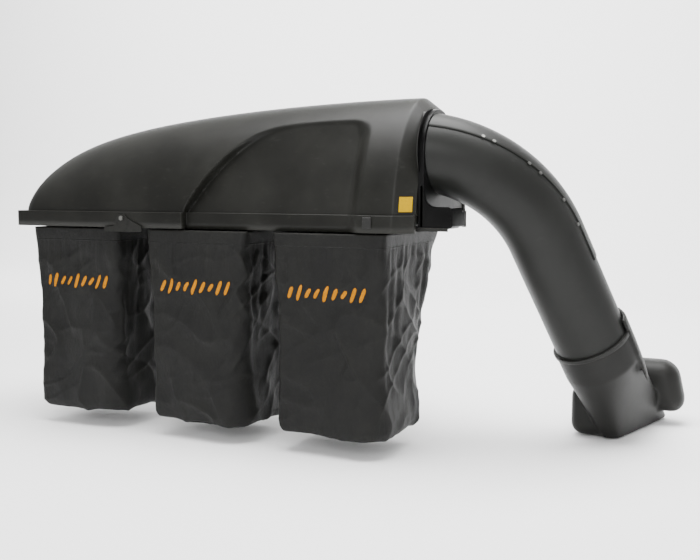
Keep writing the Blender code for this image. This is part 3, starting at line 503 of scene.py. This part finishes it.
# Hood
HOOD_LEFT = HOOD_LOW.x
HOOD_END = HOOD_HIGH.x
HOOD_CREASE = HOOD_END - 0.048
RIM_HALF = (HOOD_HIGH.y - HOOD_LOW.y) / 2
RIM_HEIGHT = 0.045
RIM_LEDGE = 0.0095
RIM_CORNER = 0.0065
RIM_ROUND = 0.0022
DOME_LEFT = HOOD_LEFT + RIM_LEDGE
DOME_HALF = RIM_HALF - RIM_LEDGE
DOME_CORNER = 0.045
DOME_HEIGHT = 0.3096
DOME_RISE = 1.715
DOME_NOSE = 3.863
ARCH_SIDE = 2.17
ARCH_TOP = 1.55
REAR_STEPS = 110
FRONT_STEPS = 50
END_CHAMFER = 0.037
END_LIP = 0.012
END_FALL = 0.22
RECESS_LEFT = -0.045
RECESS_PEAK = 0.40
RECESS_RIGHT = 0.474
RECESS_HEIGHT = 0.248
RECESS_CURVE = 3.25
RECESS_RIM_DEPTH = 0.020
RECESS_SLOPE = 0.35
HOOD_WALL = 0.0038
STEP_SOFT = 0.009
ROLL_SOFT = 0.024
RIGHT_SOFT = 0.048
RECESS_ROUND = 0.050


def chamfer(x):
    """How far the end band slopes in at x, with its crease slightly rounded."""
    run = (x - HOOD_CREASE) / (HOOD_END - HOOD_CREASE)
    soft = 0.05
    return END_CHAMFER * (run + math.sqrt(run * run + soft * soft)) / (1 + math.sqrt(1 + soft * soft))


def corner_half(x, left, half, radius):
    over = left + radius - x
    if over <= 0:
        return half
    return half - radius + math.sqrt(max(radius**2 - min(over, radius) ** 2, 0.0))


def crown(x):
    reach = min(max((HOOD_CREASE - x) / (HOOD_CREASE - DOME_LEFT), 0.0), 1.0)
    full = DOME_HEIGHT * (1 - reach**DOME_RISE) ** (1 / DOME_NOSE)
    return max(full - chamfer(x), 0.0)


def recess_share(x, z):
    """1 inside the arched panel of the rear face, 0 outside it, with a crisp left and a soft top."""
    reach = RECESS_PEAK - RECESS_LEFT
    run = (RECESS_PEAK - x) / reach
    if run >= 1:
        return 0.0
    along = max(run, 0.0)
    top = RIM_HEIGHT + RECESS_HEIGHT * (1 - along**RECESS_CURVE)
    slope = RECESS_HEIGHT * RECESS_CURVE * along ** (RECESS_CURVE - 1) / reach
    inward = (top - max(z, RIM_HEIGHT)) / math.sqrt(1 + slope * slope)
    from_right = RECESS_RIGHT - x
    soft = ROLL_SOFT + (STEP_SOFT - ROLL_SOFT) * ease(along * 1.6 - 0.5)
    soft += (RIGHT_SOFT - soft) * ease((inward - from_right) / 0.04 + 0.5)
    if max(inward, from_right) < RECESS_ROUND:
        inward = RECESS_ROUND - math.hypot(RECESS_ROUND - inward, RECESS_ROUND - from_right)
    left = ease((x - RECESS_LEFT) / 0.005)
    return left * ease(min(inward, from_right) / soft + 0.5)


def hood_outline(x, extra=0.0):
    """The hood's outline at x from its rear lower edge over the crown, as (y, z) about its middle."""
    shrink = chamfer(x) + extra
    rim = corner_half(x, HOOD_LEFT, RIM_HALF - shrink, RIM_CORNER)
    dome = corner_half(x, DOME_LEFT, DOME_HALF - shrink, DOME_CORNER)
    high = max(crown(x) - extra, 0.0)
    over = max(RIM_ROUND - (x - HOOD_LEFT), 0.0)
    ledge = RIM_HEIGHT - (RIM_ROUND - math.sqrt(RIM_ROUND**2 - over**2))
    edge = corner_arc((-rim + RIM_ROUND, ledge - RIM_ROUND), 180, 90, RIM_ROUND, 4)
    rear = [(-rim, 0.0), (-rim, 0.4 * ledge), *edge, (-dome - 0.0015, ledge)]
    rear = [(y, z, RECESS_RIM_DEPTH + (y + rim)) for y, z in rear]
    outline = list(rear)
    turns = [math.pi / 2 * k / REAR_STEPS for k in range(REAR_STEPS)]
    turns += [math.pi / 2 * (1 + k / FRONT_STEPS) for k in range(FRONT_STEPS + 1)]
    for turn in turns:
        side, up = math.cos(turn), max(math.sin(turn), 0.0)
        y = -math.copysign(abs(side) ** (2 / ARCH_SIDE), side) * dome
        z = ledge + high * up ** (2 / ARCH_TOP)
        outline.append((y, z, RECESS_RIM_DEPTH + RIM_LEDGE + (z - RIM_HEIGHT) * RECESS_SLOPE))
    outline += [(-y, z, None) for y, z, _ in reversed(rear)]
    moved = []
    for y, z, panel in outline:
        if y < 0 and panel is not None:
            y += recess_share(x, z) * max(panel - (y + RIM_HALF), 0.0)
        if y > 0 and z > RIM_HEIGHT:
            z -= (z - RIM_HEIGHT) * END_FALL * ease((x - HOOD_END) / 0.11 + 1) * ease(y / 0.12)
        moved.append((y, z))
    return moved


def hood_stations():
    nose = [HOOD_LEFT + RIM_ROUND * k / 4 for k in range(5)]
    nose += [DOME_LEFT + 0.30 * (k / 26) ** 2 for k in range(27)]
    middle = list(np.arange(nose[-1] + 0.014, RECESS_LEFT - 0.004, 0.014))
    step = [RECESS_LEFT + 0.0015 * k for k in range(-1, 6)]
    panel = list(np.arange(step[-1] + 0.004, 0.26, 0.0042)) + list(np.arange(0.262, RECESS_RIGHT - 0.030, 0.0060))
    slope = [RECESS_RIGHT + 0.0035 * k for k in range(-8, 9)]
    pillar = list(np.arange(slope[-1] + 0.008, HOOD_CREASE - 0.010, 0.010))
    crease = [HOOD_CREASE + 0.0025 * k for k in range(-4, 5)]
    band = list(np.linspace(crease[-1] + 0.006, HOOD_END, 6))
    return nose + middle + step + panel + slope + pillar + crease + band


def build_hood():
    stations = hood_stations()
    sections = [(x, hood_outline(x)) for x in stations]
    lip = [(0.0010, 0.0012), (0.0016, 0.0030), (0.0016, 0.0052), (-0.0008, 0.0060), (-0.0008, 0.0078)]
    lip += [(0.0006, 0.0086), (0.0006, END_LIP), (-0.008, END_LIP)]
    sections += [(HOOD_END + out - 0.0016, hood_outline(HOOD_END, inset)) for out, inset in lip]
    rows = [[spot(x, y + RIM_HALF, z) for y, z in section] for x, section in sections]
    points, faces = net(rows)
    faces.append(tuple(range(len(rows[0]))))
    mesh = mesh_of("hood", points, faces)
    hood = piece("hood_moulding", mesh, "hood", HOOD, ["hood_shell"], 40)
    add_modifier(hood, "SOLIDIFY", thickness=HOOD_WALL, offset=-1.0)
    return hood


# Chute
CHUTE_RADIUS = 0.10155
CHUTE_WALL = 0.0035
CHUTE_BEND = 0.4037
CHUTE_RUN = 0.415
COVER_TAIL = 0.10


def aim(turn, drop):
    turn, drop = math.radians(turn), math.radians(drop)
    flat = math.cos(drop)
    return Vector((flat * math.cos(turn), flat * math.sin(turn), math.sin(drop)))


START = spot(0.5812, 0.1519, 0.2090)
CHUTE_IN = aim(19.4, -1.5)
CHUTE_OUT = aim(51.9, -60.3)
BEND_ANGLE = CHUTE_IN.angle(CHUTE_OUT)
BEND_IN = (CHUTE_OUT - CHUTE_IN * CHUTE_IN.dot(CHUTE_OUT)).normalized()
BEND_SIDE = CHUTE_IN.cross(BEND_IN).normalized()


def bend_point(angle):
    centre = START + BEND_IN * CHUTE_BEND
    point = centre + (CHUTE_IN * math.sin(angle) - BEND_IN * math.cos(angle)) * CHUTE_BEND
    return point, CHUTE_IN * math.cos(angle) + BEND_IN * math.sin(angle)


BEND_END = bend_point(BEND_ANGLE)[0]


def along_chute(run):
    """The centre line and its direction, at a distance from the bend's start."""
    if run < 0:
        return START + CHUTE_IN * run, CHUTE_IN
    bend = CHUTE_BEND * BEND_ANGLE
    if run < bend:
        return bend_point(run / CHUTE_BEND)
    return BEND_END + CHUTE_OUT * (run - bend), CHUTE_OUT


BEND_RUN = CHUTE_BEND * BEND_ANGLE
CHUTE_LENGTH = BEND_RUN + CHUTE_RUN


def chute_spot(run, turn, radius):
    """A point round the chute: turn 0 is the outside of the bend, and -90 degrees faces the rear."""
    centre, along = along_chute(run)
    out = along.cross(BEND_SIDE).normalized()
    return centre + (out * math.cos(turn) + BEND_SIDE * math.sin(turn)) * radius


def chute_ring(run, radius, sides=72):
    return [chute_spot(run, 2 * math.pi * k / sides, radius) for k in range(sides)]


def build_chute():
    face = HOOD_END + 0.0006
    runs = list(np.arange(0.0, CHUTE_LENGTH - 0.004, 0.012))
    runs += [CHUTE_LENGTH - 0.0035, CHUTE_LENGTH - 0.001, CHUTE_LENGTH]
    rows = []
    for run in runs:
        rounding = 0.0012 if run > CHUTE_LENGTH - 0.0005 else 0.0
        ring = []
        for k in range(72):
            turn = 2 * math.pi * k / 72
            soft = noise.noise(Vector((run * 7, math.cos(turn) * 1.2, math.sin(turn) * 1.2)))
            ring.append(chute_spot(run, turn, CHUTE_RADIUS - rounding + 0.0004 * soft))
        rows.append(ring)
    for row in rows:
        for point in row:
            if point.x < face:
                point.x = face
    mesh = mesh_of("tube", *net(rows, closed=True), merge=1e-5)
    tube = piece("chute_pipe", mesh, "rack", TUBE, ["chute_tube_upper", "chute_tube_middle", "chute_tube_lower"], 40)
    add_modifier(tube, "SOLIDIFY", thickness=CHUTE_WALL, offset=-1.0)


def build_cover():
    """The strip along the outside of the bend, with turned-down edges."""
    first, last = 0.022, BEND_RUN + COVER_TAIL
    rows = []
    runs = list(np.linspace(first, last, 46))
    for run in runs:
        share = (run - first) / (last - first)
        rear = math.radians(-33 + 11 * ease(share * 1.2))
        front = math.radians(33 - 6 * share)
        low, high = CHUTE_RADIUS + 0.0004, CHUTE_RADIUS + 0.0033
        row = [chute_spot(run, rear, low), chute_spot(run, rear, high - 0.001)]
        row += [chute_spot(run, rear + (front - rear) * t, high) for t in np.linspace(0.012, 0.988, 22)]
        row += [chute_spot(run, front, high - 0.001), chute_spot(run, front, low)]
        rows.append(row)
    mesh = mesh_of("cover", *capped(rows))
    piece("chute_cover_strip", mesh, "rack", TUBE, ["chute_cover"], 40)


# Inlet housing
def build_inlet():
    low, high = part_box("inlet_housing")
    mesh_low = Vector(low)
    rear = low.y
    plate = 0.0155
    plate_x = low.x + plate
    shelf_x = high.x
    centre, along = along_chute((plate_x - START.x) / CHUTE_IN.x)
    middle = Vector((0, centre.y, centre.z))
    radius = centre.y - rear
    parts = []
    rows = []
    for depth, inset in ((0.0, 0.0), (plate - 0.003, 0.0), (plate - 0.0009, 0.0009), (plate, 0.003)):
        loop = []
        for k in range(97):
            turn = math.radians(180 * k / 96)
            out = radius - inset
            loop.append(Vector((low.x + depth, middle.y - out * math.cos(turn), middle.z + out * math.sin(turn))))
        foot = mesh_low.z + inset
        loop.append(Vector((low.x + depth, middle.y + radius - inset, foot)))
        loop.append(Vector((low.x + depth, middle.y - radius + inset, foot)))
        rows.append(loop)
    parts.append(mesh_of("flange", *capped(rows)))
    bead = []
    for run, out in ((-0.02, 0.0065), (0.017, 0.0065), (0.0195, 0.0055), (0.0205, 0.003), (0.0205, 0.0004)):
        ring = chute_ring(run, CHUTE_RADIUS + out)
        bead.append([Vector((max(p.x, low.x + 0.004), p.y, p.z)) for p in ring])
    parts.append(mesh_of("bead", *net(bead, closed=True), merge=1e-5))
    foot, top = low.z, spot(0, 0, 0.0665).z
    sweep = 0.034
    outline = [(low.x + 0.006, foot), (shelf_x - 0.002, foot), (shelf_x, foot + 0.002)]
    outline += [(shelf_x, foot + 0.022), (shelf_x - 0.004, foot + 0.026), (shelf_x - 0.004, top - 0.004)]
    outline += [(shelf_x - 0.008, top)]
    outline += corner_arc((plate_x + sweep, top + sweep), 270, 180, sweep, 10)
    outline += [(plate_x - 0.004, top + sweep + 0.02), (low.x + 0.006, top + sweep + 0.02)]
    wall = []
    for y, inset in ((rear, 0.0012), (rear + 0.0012, 0.0), (rear + 0.007, 0.0), (rear + 0.008, 0.001)):
        middle_of = sum((Vector(p) for p in outline), Vector((0, 0))) / len(outline)
        row = []
        for p in outline:
            toward = (middle_of - Vector(p)).normalized() * inset
            row.append(Vector((p[0] + toward.x, y, p[1] + toward.y)))
        wall.append(row)
    parts.append(mesh_of("wall", *capped(wall)))
    shelf_deep = rear + 0.105
    parts.append(rounded_box((low.x + 0.004, rear + 0.004, foot), (shelf_x - 0.0005, shelf_deep, top - 0.012), 0.003))
    parts.append(rounded_box((shelf_x - 0.013, rear + 0.0015, foot + 0.001), (shelf_x, shelf_deep - 0.02, top - 0.003), 0.003))
    housing = piece("inlet_moulding", joined(parts), "rack", GLOSS, ["inlet_housing"], 40)
    add_modifier(housing, "WEIGHTED_NORMAL", keep_sharp=True)


# Boot
BOOT_CORNERS = ((1.166, 0.884), (1.030, 0.892), (1.026, 0.525), (1.070, 0.535))
BOOT_LIP_RUN = BEND_RUN + 0.333
BOOT_SLEEVE = 0.085
BOOT_OUTER = CHUTE_RADIUS + 0.0043
BOOT_CELL = 0.0042
LEFT_LOBE = ((0.930, 0.520, -0.599), (1.080, 0.870, -0.452), 0.034, 0.0)
RIGHT_LOBE = ((1.030, 0.745, -0.563), (1.226, 0.8615, -0.4085), 0.046, 0.0335)
MOUTH = ((0.900, 0.575, -0.560), (1.000, 0.815, -0.490))
TONGUE = (BEND_RUN + 0.295, BEND_RUN + 0.500, -22.5, 56.3)


def boot_footprint(sides):
    """The boot's foot in plan: each quarter of the chute's ring runs down to one of its sides."""
    corners = [Vector(p) for p in BOOT_CORNERS]
    quarter = sides // 4
    loop = []
    for a, b in zip(corners, corners[1:] + corners[:1]):
        loop += [a.lerp(b, k / quarter) for k in range(quarter)]
    for _ in range(4):
        loop = [(a + 2 * b + c) / 4 for a, b, c in zip(loop[-1:] + loop, loop, loop[1:] + loop[:1])]
    return [spot(p.x, p.y, 0.0) for p in loop]


def boot_body(sides=64, levels=18):
    """The sleeve round the chute, carried on down to the foot."""
    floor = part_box("deck_boot")[0].z
    ring = chute_ring(BOOT_LIP_RUN + BOOT_SLEEVE, BOOT_OUTER, sides)
    rows = [chute_ring(BOOT_LIP_RUN, BOOT_OUTER, sides), ring]
    foot = [Vector((p.x, p.y, floor)) for p in boot_footprint(sides)]
    for k in range(1, levels + 1):
        rows.append([a.lerp(b, k / levels) for a, b in zip(ring, foot)])
    return mesh_of("body", *capped(rows))


def boot_tongue():
    """The thickened pad that runs up the chute over the sleeve's lip."""
    start, end, first, last = TONGUE
    rows = []
    turns = [math.radians(first + (last - first) * k / 14) for k in range(15)]
    for run in np.linspace(start, end, 12):
        share = (run - start) / (end - start)
        high = BOOT_OUTER + 0.0075 * (1 - share**3)
        row = [chute_spot(run, turn, high) for turn in turns]
        row += [chute_spot(run, turn, CHUTE_RADIUS + 0.0004) for turn in reversed(turns)]
        rows.append(row)
    return mesh_of("tongue", *capped(rows))


def cut_out(obj, mesh):
    """Cuts a closed mesh out of a piece."""
    cutter = bpy.data.objects.new("cutter", mesh)
    bpy.context.scene.collection.objects.link(cutter)
    add_modifier(obj, "BOOLEAN", operation="DIFFERENCE", object=cutter, solver="EXACT")
    applied(obj)
    bpy.data.objects.remove(cutter, do_unlink=True)


def build_boot():
    parts = [boot_body(), boot_tongue()]
    for low, high, radius, lean in (LEFT_LOBE, RIGHT_LOBE):
        lobe = rounded_box(spot(*low), spot(*high), radius, 6)
        foot = spot(*low).z
        for vert in lobe.vertices:
            vert.co.x -= lean * (vert.co.z - foot) / (high[2] - low[2])
        parts.append(lobe)
    boot = piece("boot_moulding", joined(parts), "rack", BOOT, ["deck_boot"], 50)
    add_modifier(boot, "REMESH", mode="VOXEL", voxel_size=BOOT_CELL)
    add_modifier(boot, "SMOOTH", factor=0.5, iterations=9)
    applied(boot)
    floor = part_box("deck_boot")[0].z
    for vert in boot.data.vertices:
        vert.co.z = max(vert.co.z, floor)
    bore = [chute_ring(run, CHUTE_RADIUS + 0.0005) for run in (BOOT_LIP_RUN - 0.06, BOOT_LIP_RUN + 0.083)]
    cut_out(boot, mesh_of("bore", *capped(bore)))
    cut_out(boot, rounded_box(spot(*MOUTH[0]), spot(*MOUTH[1]), 0.010, 3))
    boot.data.shade_smooth()
    boot.data.set_sharp_from_angle(angle=math.radians(50))
    rows = []
    for run, out in ((0.0, 0.0), (0.0, 0.0030), (0.0012, 0.0044), (0.0095, 0.0044), (0.0115, 0.003), (0.0130, -0.001)):
        rows.append(chute_ring(BOOT_LIP_RUN - 0.0005 + run, BOOT_OUTER + out, 96))
    inner = [chute_ring(BOOT_LIP_RUN + run, CHUTE_RADIUS + 0.0004, 96) for run in (0.0125, -0.0005)]
    lip = mesh_of("lip", *net(rows + inner, closed=True, looped=True))
    piece("boot_lip", lip, "rack", BOOT, (), 40)
    return boot


# Bags
BAG_HEIGHT = 0.545
BAG_REAR = 0.0065
BAG_FRONT = 0.430
BAG_CELL = 0.0095
BAG_SHARES = (0.0, 0.04, 0.10, 0.23, 0.36, 0.48, 0.60, 0.72, 0.80, 0.92, 0.97, 1.0)
BAG_SIDE_IN = (0.0, 0.002, 0.008, 0.012, 0.013, 0.013, 0.012, 0.011, 0.009, 0.003, 0.003, 0.014)
BAG_REAR_IN = (0.0, 0.0, 0.0, 0.0, 0.0, 0.0, 0.001, 0.001, 0.002, 0.003, 0.005, 0.013)
BAG_FRONT_IN = (0.0, 0.010, 0.030, 0.052, 0.070, 0.092, 0.118, 0.136, 0.143, 0.140, 0.138, 0.150)
BAG_ROUNDS = (0.018, 0.022, 0.028, 0.036, 0.044, 0.052, 0.060, 0.068, 0.074, 0.080, 0.080, 0.074)
BAG_TIGHT = 0.013
BAG_EDGES = {"left": (-0.587, -0.268), "middle": (-0.172, 0.158), "right": (0.238, 0.566)}


def bag_ring(edges, share):
    """One level of a bag, from its rear middle round to the right."""
    rear = BAG_REAR + np.interp(share, BAG_SHARES, BAG_REAR_IN)
    front = BAG_FRONT - np.interp(share, BAG_SHARES, BAG_FRONT_IN)
    drawn_in = np.interp(share, BAG_SHARES, BAG_SIDE_IN)
    left, right = edges[0] + drawn_in, edges[1] - drawn_in
    radius = np.interp(share, BAG_SHARES, BAG_ROUNDS)
    corners = ((right, rear, -90), (right, front, 0), (left, front, 90), (left, rear, 180))
    signs = ((-1, 1), (-1, -1), (1, -1), (1, 1))
    path = []
    bends = (radius, 2 * BAG_TIGHT, BAG_TIGHT, BAG_TIGHT)
    for (x, y, first), (sx, sy), bend in zip(corners, signs, bends):
        path += corner_arc((x + sx * bend, y + sy * bend), first, first + 90, bend, 8)
    path.append(path[0])
    lengths = np.cumsum([0.0] + [math.dist(a, b) for a, b in zip(path, path[1:])])
    count = 4 * round((BAG_EDGES["right"][1] - BAG_EDGES["right"][0] + BAG_FRONT) / 2 / BAG_CELL)
    wanted = np.linspace(0.0, lengths[-1], count + 1)[:-1]
    xs = np.interp(wanted, lengths, [p[0] for p in path])
    ys = np.interp(wanted, lengths, [p[1] for p in path])
    return [spot(x, y, -0.004 - BAG_HEIGHT * share) for x, y in zip(xs, ys)]


def bag_mesh(edges):
    levels = round(BAG_HEIGHT / BAG_CELL)
    rows = [bag_ring(edges, k / levels) for k in range(levels + 1)]
    centre = sum(rows[-1], Vector()) / len(rows[-1])
    for k in range(1, 12):
        rows.append([p.lerp(centre, k / 12) for p in rows[levels]])
    points, faces = net(rows, closed=True)
    points.append(tuple(centre))
    count = len(rows[0])
    last = (len(rows) - 1) * count
    faces += [(last + k, len(points) - 1, last + (k + 1) % count) for k in range(count)]
    return mesh_of("bag", points, faces)


def hang(obj, seed):
    """Lets the cloth hang from its hem with some slack, which buckles it into folds."""
    start = [v.co.copy() for v in obj.data.vertices]
    top = max(p.z for p in start)
    held = obj.vertex_groups.new(name="hem")
    held.add([k for k, p in enumerate(start) if p.z > top - HEM], 1.0, "REPLACE")
    for k, vert in enumerate(obj.data.vertices):
        p = start[k]
        sway = noise.noise_vector(Vector((p.x * 11 + seed, p.y * 11, p.z * 8)))
        fade = min(max((top - HEM - p.z) / 0.08, 0.0), 1.0)
        vert.co = p + sway * 0.006 * fade
    cloth = obj.modifiers.new("hang", "CLOTH")
    settings = cloth.settings
    settings.quality = 5
    settings.mass = 0.25
    settings.air_damping = 2.0
    settings.tension_stiffness = 18
    settings.compression_stiffness = 18
    settings.shear_stiffness = 6
    settings.bending_stiffness = 0.25
    settings.shrink_min = -0.03
    settings.vertex_group_mass = "hem"
    settings.use_pressure = True
    settings.uniform_pressure_force = 0.8
    cloth.collision_settings.use_collision = False
    scene = bpy.context.scene
    scene.frame_start, scene.frame_end = 1, HANG_FRAMES
    cloth.point_cache.frame_start, cloth.point_cache.frame_end = 1, HANG_FRAMES
    for step in range(1, HANG_FRAMES + 1):
        scene.frame_set(step)
    applied(obj)
    for k, vert in enumerate(obj.data.vertices):
        move = vert.co - start[k]
        if move.length > HANG_REACH:
            vert.co = start[k] + move * (HANG_REACH / move.length)
    scene.frame_set(1)


def ridges(point, seed):
    """Height of slack cloth: sharp folds that run in all directions, and hollows between them."""
    at = point + Vector((seed, 0.0, 0.0))
    at += noise.noise_vector(at * 0.8) * 0.5
    return (1 - abs(noise.noise(at)) * 2) ** 3


def crease(obj, seed):
    """Presses folds into the hanging cloth: soft and broad on the rear face, sharp on the sides."""
    top = max(v.co.z for v in obj.data.vertices)
    moved = []
    for vert in obj.data.vertices:
        p = vert.co
        side = ease(abs(vert.normal.x) * 1.4)
        calm = 1.0 - 0.55 * ease(-vert.normal.x * 1.4)
        slanted = Vector((p.x + 0.5 * p.z, p.y + 0.6 * p.z, p.z * 0.8))
        crossed = Vector((p.x - 0.7 * p.z, p.y - 0.7 * p.z, p.z * 0.6))
        soft = noise.noise(p * 7.0 + Vector((0.0, seed, 0.0)))
        fold = ridges(slanted * 7.0, seed) - 0.25
        cross = ridges(crossed * 10.0, seed + 7.0) - 0.25
        fine = noise.noise(Vector((p.x * 34, p.y * 34, p.z * 22 + seed)))
        push = soft * 0.009 + fold * (0.0068 - 0.0014 * side) + cross * (0.0036 + 0.0004 * side)
        push += fine * (0.0008 + 0.0006 * side)
        fade = ease((top - 0.010 - p.z) / 0.09) * calm
        moved.append(p + vert.normal * push * fade)
    for vert, point in zip(obj.data.vertices, moved):
        vert.co = point


HANG_FRAMES = 26
HANG_REACH = 0.007
HEM = 0.030
MOTIF_LOW, MOTIF_HIGH = -0.186, -0.138


def motif(bag_left, surface):
    """A row of slanted satin-stitched bars, laid on the bag's rear face."""
    shapes = []
    width = 0.232
    left = bag_left + 0.044
    middle = (MOTIF_LOW + MOTIF_HIGH) / 2
    count = 9
    for k in range(count):
        x = left + width * (k + 0.5) / count
        high = 0.016 + 0.006 * math.sin(k * 1.9)
        shapes.append((x - 0.008, middle - high, x + 0.008, middle + high, 0.0050))
    meshes = []
    for x0, z0, x1, z1, half in shapes:
        a, b = Vector((x0, z0)), Vector((x1, z1))
        along = (b - a).normalized()
        side = Vector((-along.y, along.x))
        rows = []
        steps = 12
        for i in range(steps + 1):
            t = i / steps
            swell = half * math.sqrt(max(1 - (2 * t - 1) ** 4, 0.02))
            row = []
            for j in range(-3, 4):
                p = a.lerp(b, t) + side * swell * j / 3
                lift = 0.0012 * (1 - (j / 3) ** 2) * min(1.0, 6 * min(t, 1 - t) + 0.2)
                at = spot(p.x, -0.2, p.y)
                hit = surface.ray_cast(at, Vector((0, 1, 0)), 0.6)[0]
                y = (hit.y if hit else spot(0, BAG_REAR, 0).y) - 0.0006 - lift
                row.append(Vector((at.x, y, at.z)))
            rows.append(row)
        meshes.append(mesh_of("stitch", *net(rows)))
    return joined(meshes)


def build_bags():
    for name, seed in (("left", 1.7), ("middle", 5.3), ("right", 9.1)):
        edges = BAG_EDGES[name]
        bag = bpy.data.objects.new(f"bag_cloth_{name}", bag_mesh(edges))
        bpy.context.scene.collection.objects.link(bag)
        hang(bag, seed)
        add_modifier(bag, "SUBSURF", levels=1, render_levels=1)
        applied(bag)
        crease(bag, seed)
        add_modifier(bag, "SOLIDIFY", thickness=0.0012, offset=-1.0)
        bag.data.materials.append(CLOTH.material)
        bag.data.shade_smooth()
        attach(bag, "rack")
        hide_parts(f"bag_{name}")
        corners = [v.co for v in bag.data.vertices]
        faces = [tuple(p.vertices) for p in bag.data.polygons]
        surface = BVHTree.FromPolygons(corners, faces)
        stitched = piece(f"bag_motif_{name}", motif(edges[0], surface), "rack", AMBER, ())


# Fittings
def finish_nodes():
    """Gives every CAD piece that still shows its own finish."""
    paints = {
        "frame_steel": STEEL,
        "bare_steel": BARE,
        "zinc": ZINC,
        "hood_plastic": HOOD,
        "chute_plastic": TUBE,
        "gloss_plastic": GLOSS,
        "bag_cloth": CLOTH,
        "patch_film": PATCH,
    }
    slots = {part["node"]: part["material_slot"] for part in frame["record"]["subparts"]}
    for name, node in frame["nodes"].items():
        if node.hide_render:
            continue
        finish = STEEL if name == "rim_hook" else paints[slots[name]]
        for k in range(len(node.material_slots)):
            node.material_slots[k].material = finish.material


build_camera()
build_lights()
build_floor()
build_hood()
build_chute()
build_cover()
build_inlet()
build_boot()
build_bags()
finish_nodes()
